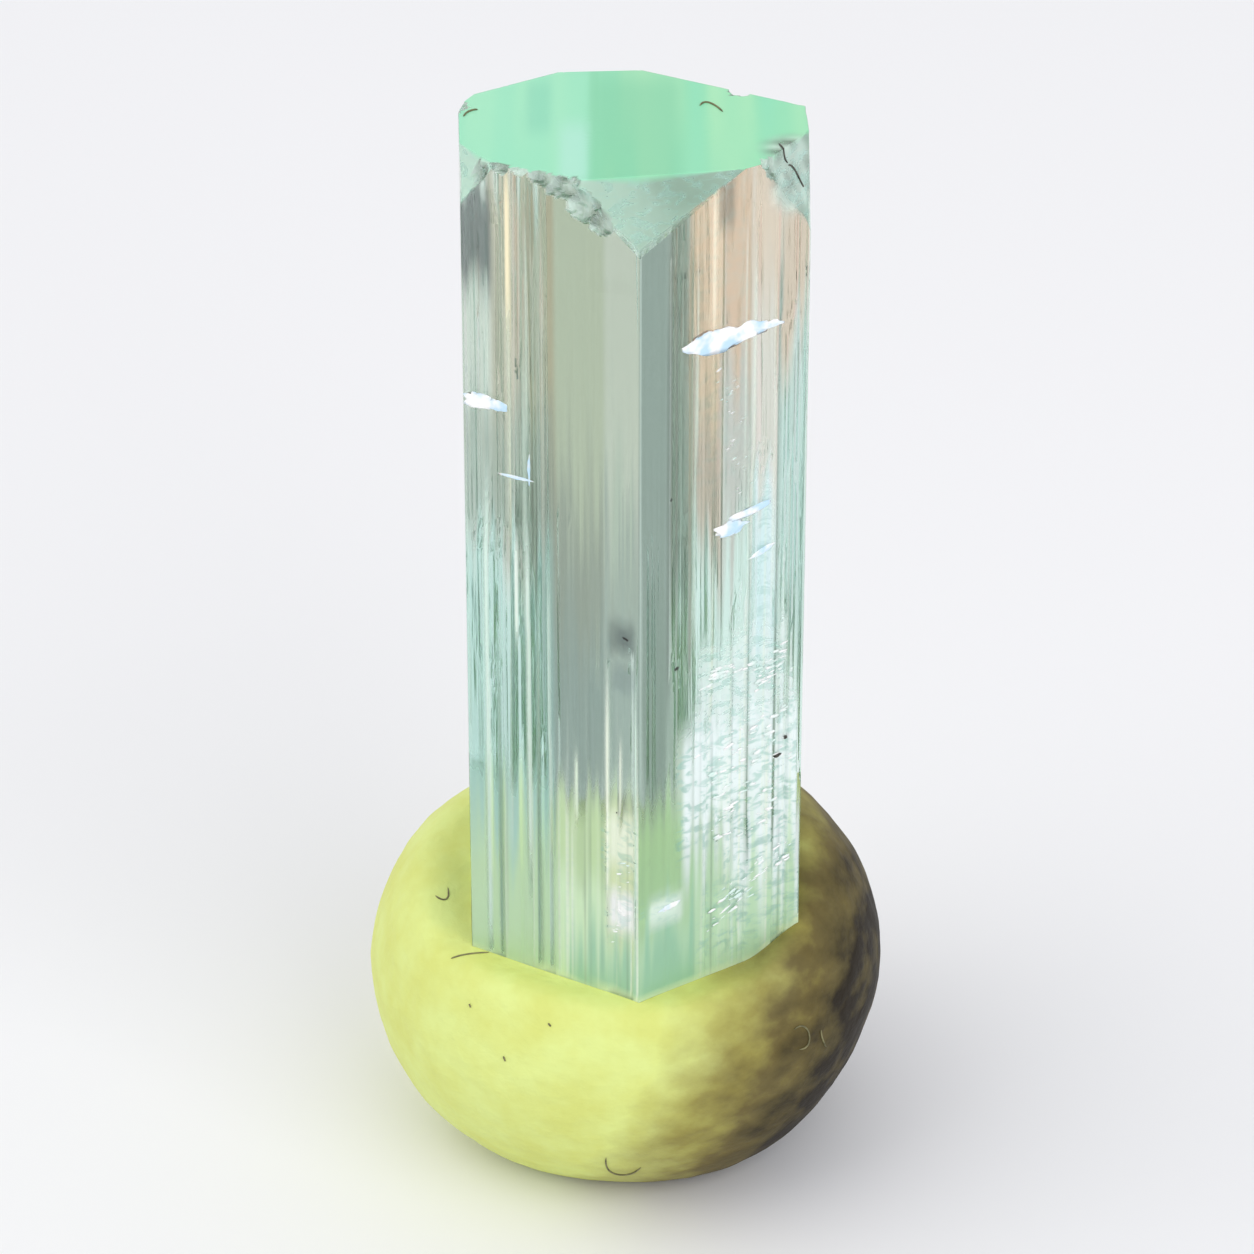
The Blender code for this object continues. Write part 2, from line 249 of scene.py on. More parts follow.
COLUMN_PITCH = 0.07 * MM  # spacing of the points round the crystal
RISER = 0.05 * MM  # width of the riser at each side of a ledge
FINE_LEDGES_PER_MM = 2.6  # small ledges for each millimetre of a face's width
FINE_WIDTH = (0.10 * MM, 0.50 * MM)
FINE_DEPTH = (0.008 * MM, 0.030 * MM)
FINE_LENGTH = (9 * MM, 26 * MM)
LEDGE_END = 1.2 * MM  # length over which a ledge dies out
STRIATION = 0.004 * MM  # depth of the finest growth lines, a column or two wide
STRIATION_WIDTH = 0.10 * MM
STRIATION_LENGTH = 14 * MM
FINE_SEED = 7
FACE_STEP = 20 * MM  # the faces lie this far apart in the noise, so that each has its own
LEAST_PITCH = 0.4  # share of the pitch by which a column keeps clear of a mark
TOP_BAND = 3.2 * MM  # stretch below the rim where the points are close together
TOP_BAND_ROWS = 44
SIDE_ROWS = 74
CORNER_FACE_ROWS = 8
TOP_FACE_ROWS = 30
ROOF_CROWDING = (1.6, 1.5)  # powers that bring the top face's rings closer together at its rim
FOOT_ROWS = 12
LEAST_CORNER_BAND = 0.02  # share of the top face's radius that the corner rows always take

# Stretches where the faces are smooth and the fine ledges nearly vanish, by face: from, to, bottom,
# top.
SMOOTH_ZONES = {
    "left_front": ((2.9, 5.0, 17, 38), (0.0, 6.3, 24, 38)),
    "front": ((0.0, 2.0, 9, 38), (2.0, 6.3, 28, 38)),
    "right_back": ((3.6, 7.4, 8, 38),),
    "back": ((0.0, 1.4, 8, 38),),
}
SMOOTHNESS = 0.12  # share of its depth that a fine ledge keeps there


def plan_corners():
    """The crystal's six corners in plan, counter-clockwise from the front edge. The front and back
    faces lie at 30 degrees to the width."""
    half = CRYSTAL_WIDTH / 2
    shoulder = half * FACE_SLOPE
    left = shoulder + LEFT_FACE
    right = shoulder + RIGHT_FACE
    back_x = (right - left) / (2 * FACE_SLOPE)
    back = left + (back_x + half) * FACE_SLOPE
    flat = ((0, 0), (half, shoulder), (half, right), (back_x, back), (-half, left), (-half, shoulder))
    cos, sin = math.cos(CRYSTAL_TURN), math.sin(CRYSTAL_TURN)
    return FRONT_EDGE + np.array(flat) @ np.array([[cos, sin], [-sin, cos]])


def plan_edges():
    """For each face of the plan: the corner where it begins, its direction, its way inwards and its
    width."""
    corners = plan_corners()
    edges = []
    for start, end in zip(corners, np.roll(corners, -1, axis=0)):
        width = np.linalg.norm(end - start)
        direction = (end - start) / width
        edges.append((start, direction, np.array([-direction[1], direction[0]]), width))
    return edges


def perimeter(pitch, marks):
    """Columns round the plan, evenly spaced on each face and with one at each corner and at each of
    the marks, {face: distances}. Gives each one's place, inward direction, face and distance."""
    columns = []
    for index, (start, direction, inward, width) in enumerate(plan_edges()):
        even = np.linspace(0, width, round(width / pitch) + 1)[:-1]
        extra = np.array(marks.get(CORNERS[index], ()))
        apart = np.abs(even[:, None] - extra[None, :]).min(axis=1, initial=1.0)
        even = even[(apart > LEAST_PITCH * pitch) | (even == 0)]
        along = np.sort(np.concatenate([even, extra]))
        place = start + along[:, None] * direction
        columns.append((place, np.tile(inward, (len(along), 1)), np.full(len(along), index), along))
    return [np.concatenate(part) for part in zip(*columns)]


def corner_faces():
    """The corner faces as planes (normal, offset), where a point p lies inside if normal . p < offset,
    and where they meet the top edges, for each face of the prism."""
    edges = plan_edges()
    middle = plan_corners().mean(axis=0)
    planes = []
    marks = {name: [] for name in CORNERS}
    for name, reaches in CORNER_FACES.items():
        to_last, to_next, down = np.array(reaches) * MM
        index = CORNERS.index(name)
        corner, following = edges[index][:2]
        marks[name].append(to_next)
        marks[CORNERS[index - 1]].append(edges[index - 1][-1] - to_last)
        on_last = np.append(-edges[index - 1][1] * to_last, 0.0)
        on_next = np.append(following * to_next, 0.0)
        on_edge = np.array([0, 0, -down])
        normal = np.cross(on_next - on_last, on_edge - on_last)
        if normal[:2] @ (corner - middle) < 0:
            normal = -normal
        normal = normalised(normal)
        planes.append((normal, normal @ (np.append(corner, CRYSTAL_TOP) + on_last)))
    return planes, marks


def plane_heights(place, planes):
    """Height of each of the corner faces' planes over a place."""
    return np.array([(offset - place @ normal[:2]) / normal[2] for normal, offset in planes])


def roof_height(place):
    """Height of the crystal's upper end over a place: the lowest of the top face and the corner faces."""
    return np.minimum(CRYSTAL_TOP, plane_heights(place, corner_faces()[0]).min(axis=0))


def foot_height(place):
    """Height of the broken foot: two cleaved planes that rise from near the middle."""
    middle = plan_corners().mean(axis=0)
    height = np.full(place.shape[:-1], CRYSTAL_FOOT)
    for heading, slope in FOOT_BREAKS:
        turn = math.radians(heading)
        out = (place - middle) @ np.array([math.cos(turn), math.sin(turn)])
        rise = (out - FOOT_BREAK_OFFSET) * math.tan(math.radians(slope))
        height = np.maximum(height, CRYSTAL_FOOT + rise)
    return height


def ledge_table():
    """Every growth ledge as a row: face, middle, half width, depth, middle height and half length.
    The great ones are as in the solid; the fine ones come from a seeded draw."""
    draw = np.random.default_rng(FINE_SEED)
    ledges = []
    for index, (name, edge) in enumerate(zip(CORNERS, plan_edges())):
        width = edge[-1]
        for start, end, depth, bottom, top in np.array(GREAT_LEDGES[name]) * MM:
            middle, height = (start + end) / 2, (bottom + top) / 2
            ledges.append((index, middle, (end - start) / 2, depth, height, (top - bottom) / 2))
        for _ in range(round(FINE_LEDGES_PER_MM * width / MM)):
            half = draw.uniform(*FINE_WIDTH) / 2
            middle = draw.uniform(half, width - half)
            reach = draw.uniform(*FINE_LENGTH) / 2
            height = draw.uniform(CRYSTAL_FOOT, CRYSTAL_TOP)
            depth = draw.uniform(*FINE_DEPTH)
            for face, start, end, bottom, top in rows(SMOOTH_ZONES, 4):
                if face == index and start < middle < end and bottom < height < top:
                    depth *= SMOOTHNESS
                    break
            ledges.append((index, middle, half, depth, height, reach))
    return ledges


def unrolled(faces, alongs, heights, squash):
    """Points for noise that is drawn out along the crystal: the way round it and the squashed height."""
    return np.stack(np.broadcast_arrays(faces * FACE_STEP + alongs, heights * squash, 0.0), axis=-1)


def ledge_depth(faces, alongs, heights):
    """How far the sides lie inside the plain hexagon: the sum of the ledges, each with steep risers
    at its sides and a depth that dies out at its ends, and of noise drawn out along the crystal."""
    depth = np.zeros(np.broadcast(alongs, heights).shape)
    for index, middle, half, deep, height, reach in ledge_table():
        on_face = np.nonzero((faces == index) & (np.abs(alongs - middle) < half))[0]
        across = np.clip((half - np.abs(alongs[on_face] - middle)) / RISER, 0, 1)
        upright = ease((reach - np.abs(heights[..., on_face] - height)) / LEDGE_END)
        depth[..., on_face] += deep * across * upright
    along_crystal = unrolled(faces, alongs, heights, STRIATION_WIDTH / STRIATION_LENGTH)
    depth += STRIATION * (1 + soft_noise(along_crystal, STRIATION_WIDTH, FINE_SEED))
    return depth * (alongs > 0)


def on_heights(places, heights):
    """Places in plan, and their heights, as points."""
    return np.concatenate([places, heights[..., None]], axis=-1)


def crystal_rings():
    """The crystal's surface: rings over the foot, up the sides, across the corner faces and in over
    the top face. Gives the rings, how many lie below the sides and on them, each column's face and
    distance along it, and the two middles."""
    planes, marks = corner_faces()
    place, inward, faces, alongs = perimeter(COLUMN_PITCH, marks)
    middle = plan_corners().mean(axis=0)

    def cut(heights):
        """The places of the columns at these heights, as far inside as the ledges lie."""
        return place + inward * ledge_depth(faces, alongs, heights)[..., None]

    rim, foot = cut(roof_height(place)), cut(foot_height(place))
    rim_height = roof_height(rim)

    spokes = np.linspace(0, 1, FOOT_ROWS + 1)[1:-1]
    foot_places = middle + (foot - middle) * spokes[:, None, None]
    below = on_heights(foot_places, foot_height(foot_places))

    bottom = foot_height(foot)
    lower = np.linspace(0, 1, SIDE_ROWS, endpoint=False)[:, None]
    upper = np.linspace(0, 1, TOP_BAND_ROWS)[:, None]
    lower = bottom + (rim_height - TOP_BAND - bottom) * lower
    heights = np.concatenate([lower, rim_height - TOP_BAND * (1 - upper)])
    sides = cut(heights)
    sides[-1] = rim
    sides = on_heights(sides, heights)

    at_middle, at_rim = plane_heights(middle, planes), plane_heights(rim, planes)
    cross = (at_middle[:, None] - CRYSTAL_TOP) / (at_middle[:, None] - at_rim)
    cross = np.where(at_rim < CRYSTAL_TOP, cross, 1.0).min(axis=0)
    cross = np.minimum(cross, 1 - LEAST_CORNER_BAND)
    outer = np.linspace(0, 1, CORNER_FACE_ROWS + 1)[1:, None]
    inner = (np.linspace(1, 0, TOP_FACE_ROWS + 1)[1:-1, None]) ** ROOF_CROWDING[0]
    shares = np.concatenate([1 + (cross - 1) * outer, cross * (1 - (1 - inner) ** ROOF_CROWDING[1])])
    roof_places = middle + (rim - middle) * shares[..., None]
    roof = on_heights(roof_places, roof_height(roof_places))

    poles = [np.append(middle, CRYSTAL_FOOT), np.append(middle, CRYSTAL_TOP)]
    return np.concatenate([below, sides, roof]), len(below), len(sides), faces, alongs, poles


# ---- the crystal's looks

# Tints of the natural faces, thin films of clay and stretches of denser colour, with painted surroundings:
# grey-green rows that darken the middles of the faces as darker surroundings seen through the crystal would,
# and peach and tan rows high up that are painted warm reflections. By face: from, to, bottom, top, colour
# and strength. Later ones lie over earlier ones.
TINTS_AND_PAINTED_SURROUNDINGS = {
    "left_front": (
        # Painted surroundings: the grey-green rows from 2.9 and from 5.1 darken this face as darker
        # surroundings seen through the crystal would.
        (2.9, 7, 15, 42, "#BDC7AD", 1.0), (2.9, 7, 15, 28, "#9DA798", 1.0),
        (2.9, 7, 15, 23, "#97A9A0", 1.0), (5.1, 7, 13, 42, "#D8DED4", 1.0),
        (5.1, 7, 13, 28, "#BBCCC0", 1.0), (-1, 3.2, 7, 26, "#A2D6CD", 0.8),
        # Painted reflection: the tan row from 0.9 to 3.3 high up is a warm reflection of the surroundings.
        (0.9, 3.3, 26.5, 40, "#B39875", 0.85), (-1, 1.0, 29.5, 36, "#C4C6B8", 0.8),
        (-1, 3.3, 25.5, 30.5, "#8C9282", 0.85), (-1, 1.05, 34.6, 38.4, "#33383A", 0.95),
        (5.2, 6.2, 22.4, 23.7, "#3F4E50", 0.7), (5.5, 6.05, 22.75, 23.4, "#2E393C", 0.6),
        (5.3, 6.2, 21, 22, "#7C8A8C", 0.6), (5.1, 6.2, 15.9, 17.1, "#45483F", 0.7),
        (-1, 7, 5, 15.5, "#D6F2C4", 0.9), (3.3, 5.2, 13.5, 16.6, "#C3DEAA", 0.8),
        (3.6, 7, 5, 11.4, "#96CAAF", 0.8), (5.15, 6.2, 11.5, 16, "#E4EEBE", 0.8),
        (5.2, 6.2, 11.8, 13.3, "#FFFFFF", 1.0), (5.1, 6.2, 14.3, 16.2, "#F8FFEC", 0.9),
    ),
    "right_back": (
        # Painted surroundings: grey-green rows, as on the left front face.
        (3.4, 8, 12.5, 42, "#BDC7AD", 1.0), (3.4, 8, 12.5, 25, "#9DA798", 1.0),
        (3.4, 8, 12.5, 20, "#97A9A0", 1.0),
    ),
    # Painted surroundings: grey-green rows.
    "back": ((-1, 1.35, 12, 42, "#97A89D", 1.0), (-1, 1.35, 12, 19, "#90A497", 1.0)),
    "front": (
        # Painted surroundings in the first two rows; the peach and tan rows high up are painted warm
        # reflections.
        (-1, 1.05, 14, 42, "#97A89D", 1.0), (-1, 1.05, 14, 22, "#90A497", 1.0),
        (1.05, 2.0, 14, 40, "#B2C8B3", 0.8), (1.05, 2.0, 26, 40, "#6A6C5C", 0.9),
        (1.9, 5.3, 19, 25, "#E4FAF4", 0.6), (1.9, 3.15, 26, 42, "#C8957D", 0.95),
        (1.9, 3.15, 32, 42, "#FFBB91", 1.0), (3.15, 4.2, 26, 42, "#C1AAA3", 0.9),
        (3.15, 4.2, 32, 42, "#E8A27C", 0.95), (4.2, 5.3, 26, 42, "#F0D0C4", 0.95),
        (4.2, 5.3, 34, 42, "#F3BA9C", 0.95), (5.3, 7, 22.5, 34, "#B9D2CE", 0.8),
        (5.3, 7, 33, 40, "#E0A281", 0.9), (2.9, 3.5, 37, 39, "#6B5646", 0.8),
        (4.35, 5.2, 21.5, 27.5, "#E2FAFF", 1.0), (-1, 7, 5, 16, "#C6EABE", 0.9),
        (-1, 2.1, 12.4, 17, "#A9D299", 0.85), (-1, 2.2, 5, 12, "#97CEAE", 0.8),
        (1.7, 4.2, 14.2, 20.5, "#F4FFFF", 1.0), (3.6, 7, 12.5, 20.5, "#F4FFFF", 1.0),
        (0.4, 1.7, 12, 13.1, "#F0FFF6", 0.8),
    ),
    # Painted warm reflection.
    "right_front": ((-1, 4.4, 24, 40, "#F1DCC4", 0.3),),
    "left_back": ((-1, 5.4, 7, 24, "#D2EEE4", 0.4),),
}
CLEAR_TINT = "#F2FFF8"  # where there is none
TINT_EDGE = 0.25 * MM  # width over which a tint comes in across the face
TINT_END = 4 * MM  # and along the crystal
TINT_FRAY = 3 * MM  # how far its ends run out in streaks
TINT_STREAK = 0.16 * MM  # width of a streak
TINT_SQUASH = 0.02  # its width for its length

# Where fine growth lines show as pale or dark streaks, by face: from, to, bottom, top, and how many
# pale ones and dark ones there are to a millimetre.
LINE_ZONES = {
    "left_front": (
        (0.0, 3.4, 9, 24, 3.5, 1.8), (3.4, 5.0, 9, 17, 4.0, 3.0), (5.0, 6.3, 9, 20, 3.0, 2.0),
        (0.8, 3.0, 26, 38, 2.0, 2.5),
    ),
    "front": ((1.9, 6.3, 11, 25, 4.5, 3.4), (1.9, 6.3, 26, 38, 2.0, 3.0)),
    "right_front": ((0.2, 3.2, 9, 37, 4.0, 2.0),),
    "right_back": ((0.2, 7.0, 12, 37, 0.8, 0.5),),
    "back": ((1.4, 5.2, 12, 37, 2.0, 1.5),),
    "left_back": ((0.2, 4.2, 9, 37, 4.0, 1.6),),
}
LINE_HALF = (0.03 * MM, 0.075 * MM)
LINE_LENGTH = (4 * MM, 16 * MM)
LINE_STRENGTH = (0.25, 1.0)
LINE_SEED = 21
DARK_LINE_TINT = "#4F6A5C"
PALE_LINE_TINT = "#F6FFEF"
DARK_LINE = 0.45  # share of its tint that the strongest dark line takes
PALE_LINE = 0.5  # how milky the strongest pale line is
LINE_FROST = 0.3  # and how frosted

# The growth lines that stand out, by face: distance along it, half width, bottom, top, colour and
# how milky they are.
GREAT_LINES = {
    "left_front": (
        (1.66, 0.09, 33, 38.8, "#FFF3CC", 0.95), (1.66, 0.06, 25.5, 33.6, "#F0EBD0", 0.4),
        (0.72, 0.08, 9.6, 27, "#E2F8EC", 0.62), (1.85, 0.07, 22, 25.6, "#F4FFF4", 0.7),
        (2.25, 0.09, 13, 25.6, "#E8FAEE", 0.65), (3.02, 0.06, 9.6, 24.8, "#DCF2E6", 0.5),
        (4.02, 0.05, 15.6, 18.2, "#F0FFE8", 0.7), (5.16, 0.06, 12.5, 21, "#F8FFEC", 0.9),
        (5.6, 0.05, 16, 19, "#F8FFEC", 0.7), (6.2, 0.05, 12, 21, "#E8FFF0", 0.6),
        (1.12, 0.06, 9.6, 21, "#98B5A4", 0.5), (2.6, 0.05, 9.6, 22, "#98B5A4", 0.5),
    ),
    "front": (
        (2.78, 0.09, 33.2, 38.8, "#FFEFD2", 0.8), (1.1, 0.08, 20.5, 34.5, "#7A877F", 0.0),
        (1.95, 0.06, 20, 37, "#8E9480", 0.0), (4.25, 0.06, 14, 25.5, "#6E8078", 0.2),
        (5.28, 0.07, 14, 35.5, "#78877E", 0.0),
    ),
}

# Clouded stretches, where small flaws break up the light, by face: from, to, bottom, top, how milky
# and how frosted.
CLOUDED_ZONES = {
    "front": (
        (1.8, 4.2, 14.6, 19.6, 0.85, 0.9), (3.6, 6.5, 12, 19.4, 0.85, 0.9),
        (2.2, 6.0, 19.3, 22.2, 0.6, 0.8), (4.35, 5.2, 21.5, 27.5, 0.45, 0.5),
        (1.9, 4.2, 28, 40, 0.05, 0.2), (2.6, 7, 10, 13, 0.74, 0.7), (-1, 7, 5, 15.5, 0.66, 0.0),
        (-1, 2.4, 5, 17.5, 0.72, 0.0), (0.4, 1.7, 12, 13.1, 0.85, 0.5),
    ),
    "left_front": (
        (5.15, 6.2, 11.5, 16, 0.78, 0.3), (5.2, 6.2, 11.8, 13.3, 0.9, 0.5),
        (5.1, 6.2, 14.3, 16.2, 0.8, 0.7), (-1, 3.4, 5, 17.4, 0.62, 0.0), (3.3, 7, 5, 17, 0.78, 0.0),
    ),
}
CLOUD_END = 2.2 * MM  # length over which they come in along the crystal
CLOUD_FRAY = (0.35, 0.22)  # their fray along it and, for frosted ones, across it, to that of a tint

MILK_FOOT = 0.9
MILK_ROOF = 0.85
MILK_CORNER = 0.60

# The corner faces, mottled.
CORNER_TINT = "#C6E8D4"
CORNER_SHADE = "#86A592"
CORNER_PATCH = 1.3 * MM
CORNER_MOTTLE = 0.8
CORNER_RIGHTWARD = 0.3 / MM  # how the shade grows to the right
CORNER_FROST = 0.6

# The chips, and a crumbled corner.
CHIP_TINT = "#DDF3E6"
CHIP_SHADE = "#6E7B70"  # the shadowed shells of a chip
CHIP_PATCH = 0.35 * MM
MILK_CHIP = (0.25, 0.8)  # in the shade and out of it
CRUMBLED = (5.2 * MM, -3.95 * MM, 38.0 * MM)
CRUMBLED_RADIUS = 1.2 * MM
CRUMBLED_SOFTNESS = 0.6  # share of the radius over which it comes in

# The putty clings to the faces in its pocket, and shows through the crystal. Its colours there are paler
# than the putty, and nearly white deeper down, as painted light in the dark pocket.
CLUNG_RIM_PAINTED_LIGHT = "#DFF0C4"
CLUNG_DEEP_PAINTED_LIGHT = "#EAFBEF"
CLUNG_MILK = 0.9
CLUNG_EDGE = 0.2 * MM
CLUNG_FADE = 2.6 * MM  # depth below the contact where the pale deep colour, painted light, is reached

# The top face, with its patches: left, right, front, back, colour and strength. The patches are painted
# light and shade: a lighter left part where the light falls, two darker patches for the sides reflected
# inside, a painted highlight, and a darker growth line.
ROOF_TINT = "#97E6BB"
ROOF_DEEP = "#93E8B9"
ROOF_PATCH = 2.4 * MM
ROOF_BAND = 0.55 * MM  # width of the bands that run from front to back over it
BAND_SQUASH = (1.0, 0.06, 0.0)  # how much the noise of the bands takes of x, y and z
ROOF_BANDS = (("#C9F9C4", 0.45), ("#84E6C4", 0.35))  # the pale and the deep ones
ROOF_EDGE = (0.8 * MM, 3.0 * MM)  # how softly a patch begins at its sides and at its ends
ROOF_DEPTH = 0.01 * MM  # a point this near the top belongs to the top face
ROOF_PAINTED_LIGHT_AND_LINE = (
    # Painted light and shade: a lighter left part, two darker patches for the reflected sides, a painted
    # highlight, then a darker growth line.
    (-7, -1, -9, 9, "#A4F0CE", 0.6), (-1.1, 1.7, -9, 1.5, "#80D6A9", 0.7),
    (-3.2, -2.4, -2.8, 1.0, "#7BD3B4", 0.45), (-2.1, -1.2, -6.5, -2.2, "#CDF6F4", 0.35),
    (-1.2, -0.9, -9, 6.0, "#7CD4A4", 0.35),
)


def between(values, low, high, edge):
    """1 between two limits and 0 outside them, with a soft step of this width at each one."""
    return soft_step(values - low, edge) * soft_step(high - values, edge)


def in_zone(zone, faces, alongs, heights, fray, ending=TINT_END):
    """How much each point belongs to a zone: soft steps across the face times longer soft steps
    along the crystal, whose ends the fray shifts."""
    face, start, end, bottom, top = zone
    edge = min(TINT_EDGE, (end - start) / 2)
    finish = min(ending, (top - bottom) / 2)
    raised = heights + fray * (finish / ending) ** 2
    return between(alongs, start, end, edge) * (faces == face) * between(raised, bottom, top, finish)


def line_share(faces, alongs, heights, kind):
    """How much each point lies on a fine line along the crystal. Across, a line is a ridge
    1 - |across| / half width; along, it fades with the fourth power of the way to its ends."""
    draw = np.random.default_rng(LINE_SEED + kind)
    share = np.zeros(heights.shape)
    for face, start, end, bottom, top, *counts in rows(LINE_ZONES, 4):
        for _ in range(round(counts[kind] * (end - start) / MM)):
            middle, half = draw.uniform(start, end), draw.uniform(*LINE_HALF)
            height, reach = draw.uniform(bottom, top), draw.uniform(*LINE_LENGTH) / 2
            strength = draw.uniform(*LINE_STRENGTH)
            near = np.nonzero((faces == face) & (np.abs(alongs - middle) < half))[0]
            ridge = 1 - np.abs(alongs[near] - middle) / half
            fade = np.clip(1 - ((heights[:, near] - height) / reach) ** 4, 0, 1)
            share[:, near] = np.maximum(share[:, near], strength * ridge * fade)
    return share


def side_looks(faces, alongs, points):
    """The sides' tint, milkiness and frost, from the zones and the lines, and from the putty that clings to
    them inside its pocket, paler there and nearly white deeper down as painted light."""
    heights = points[..., 2]
    streaks = unrolled(faces, alongs, heights, TINT_SQUASH)
    fray = TINT_FRAY * soft_noise(streaks, TINT_STREAK, LINE_SEED)
    tint = filled(CLEAR_TINT, heights.shape)
    for *zone, colour, strength in rows(TINTS_AND_PAINTED_SURROUNDINGS, 4):
        tint = mixed(tint, colour, strength * in_zone(zone, faces, alongs, heights, fray))
    milk, frost = np.zeros(heights.shape), np.zeros(heights.shape)
    upward, aside = (share * fray for share in CLOUD_FRAY)
    for *zone, milky, frosted in rows(CLOUDED_ZONES, 4):
        share = in_zone(zone, faces, alongs + aside * (frosted > 0), heights, upward, CLOUD_END)
        milk = np.maximum(milk, milky * share)
        frost = np.maximum(frost, frosted * share)
    pale = line_share(faces, alongs, heights, 0)
    tint = mixed(tint, DARK_LINE_TINT, DARK_LINE * line_share(faces, alongs, heights, 1))
    tint = mixed(tint, PALE_LINE_TINT, pale)
    milk = np.maximum(milk, PALE_LINE * pale)
    frost = np.maximum(frost, LINE_FROST * pale)
    for face, along, half, bottom, top, colour, milky in rows(GREAT_LINES, 4):
        zone = (face, along - half, along + half, bottom, top)
        share = in_zone(zone, faces, alongs, heights, 0.0)
        tint = mixed(tint, colour, share)
        milk = np.maximum(milk * (1 - share), milky * share)
    # Painted light: the clung stretch turns paler, and nearly white deeper in the pocket.
    deep = contact_height(points[..., :2]) - heights
    clung = soft_step(deep, CLUNG_EDGE)
    tint = mixed(tint, CLUNG_RIM_PAINTED_LIGHT, clung)
    tint = mixed(tint, CLUNG_DEEP_PAINTED_LIGHT, clung * ease(deep / CLUNG_FADE))
    return tint, np.maximum(milk, CLUNG_MILK * clung), frost


def roof_looks(points):
    """The upper end's tint, milkiness and frost: a milky green skin with large soft patches and with painted
    light, shade, reflections and a highlight on the top face, and a paler, mottled and frosted one on the
    corner faces."""
    patch = 0.5 + 0.5 * soft_noise(points, ROOF_PATCH, LINE_SEED)
    tint = mixed(filled(ROOF_TINT, patch.shape), ROOF_DEEP, patch)
    bands = soft_noise(points * np.array(BAND_SQUASH), ROOF_BAND, LINE_SEED)
    for (colour, strength), share in zip(ROOF_BANDS, (bands, -bands)):
        tint = mixed(tint, colour, strength * np.maximum(share, 0))
    for *sides, colour, strength in ROOF_PAINTED_LIGHT_AND_LINE:
        share = strength
        for axis, (low, high) in enumerate(np.array(sides).reshape(2, 2) * MM):
            edge = min(ROOF_EDGE[axis], (high - low) / 2)
            share = share * between(points[..., axis], low, high, edge)
        tint = mixed(tint, colour, share)
    flat = points[..., 2] > CRYSTAL_TOP - ROOF_DEPTH
    mottle = 0.5 + CORNER_MOTTLE * soft_noise(points, CORNER_PATCH, LINE_SEED)
    shade = np.clip(mottle + CORNER_RIGHTWARD * points[..., 0], 0, 1)
    corner = mixed(filled(CORNER_TINT, flat.shape), CORNER_SHADE, shade)
    milk = np.where(flat, MILK_ROOF, MILK_CORNER)
    return np.where(flat[..., None], tint, corner), milk, np.where(flat, 0.0, CORNER_FROST)


def crystal_looks(rings, below, sides, faces, alongs):
    """Tint, milkiness and frost for every point of the crystal; its broken foot is milky, in the pale deep
    colour of the pocket, which is painted light.
    """
    foot = rings[:below].shape[:2]
    parts = (
        (filled(CLUNG_DEEP_PAINTED_LIGHT, foot), np.full(foot, MILK_FOOT), np.zeros(foot)),
        side_looks(faces, alongs, rings[below : below + sides]),
        roof_looks(rings[below + sides :]),
    )
    return [np.concatenate(looks) for looks in zip(*parts)]


def bite_chips(points):
    """Moves the points inside each chip's ball inwards and down until they lie on its far skin, so
    that a shell-like hollow is left in the edge. Gives the points and what was moved."""
    edges = plan_edges()
    moved = np.zeros(points.shape[:-1])
    for number, (face, along, below, radius) in enumerate(rows(CHIPS, 3)):
        corner, edge, into, _ = edges[face]
        place = corner + edge * along - into * (CHIP_OUT * radius)
        centre = np.append(place, CRYSTAL_TOP - below + CHIP_UP * radius)
        inward = normalised(np.append(into, -CHIP_FALL))
        away = points - centre
        along_way = away @ inward
        aside = (away**2).sum(axis=-1) - along_way**2
        flattened = points - along_way[..., None] * inward
        lumps = sum(
            share * soft_noise(flattened, size * radius, CHIP_SEED + number) for size, share in CHIP_LUMPS
        )
        skin = radius * (1 + CHIP_ROUGHNESS * lumps)
        reach = np.sqrt(np.maximum(skin**2 - aside, 0.0)) - along_way
        inside = (aside < skin**2) & (reach > 0)
        points = points + np.where(inside, reach, 0.0)[..., None] * inward
        moved = np.maximum(moved, inside)
    return points, moved


def make_crystal(material):
    """The crystal: rings with flat ledges, with chips bitten out of the edges of its upper end."""
    rings, below, sides, faces, alongs, poles = crystal_rings()
    tint, milk, frost = crystal_looks(rings, below, sides, faces, alongs)
    shade = 0.5 + 0.5 * soft_noise(rings, CHIP_PATCH, CHIP_SEED)
    beside = CRUMBLED_RADIUS - np.linalg.norm(rings - np.array(CRUMBLED), axis=-1)
    rings, chipped = bite_chips(rings)
    chipped = np.maximum(chipped, soft_step(beside, CRUMBLED_SOFTNESS * CRUMBLED_RADIUS))
    chip_tint = mixed(filled(CHIP_TINT, shade.shape), CHIP_SHADE, shade)
    chip_milk = MILK_CHIP[1] + (MILK_CHIP[0] - MILK_CHIP[1]) * shade
    milk += (chip_milk - milk) * chipped
    tint += (chip_tint - tint) * chipped[..., None]
    mesh = ring_mesh("aquamarine_crystal", rings[None], *poles)
    ends = [linear(CLUNG_DEEP_PAINTED_LIGHT), linear(ROOF_TINT)]
    mark(mesh, "tint", np.concatenate([tint.reshape(-1, 4), ends]))
    mark(mesh, "milk", np.append(milk.ravel(), [MILK_FOOT, MILK_ROOF]))
    mark(mesh, "frost", np.append(frost.ravel(), [0.0, 0.0]))
    return add_piece(mesh, material, smooth=False)


# ---- flaws in the crystal's faces

# Each row of these tables is a lens: face, distance along it, depth inside it, height, half sizes
# along the face, inwards and upwards, and how its height climbs along the face.

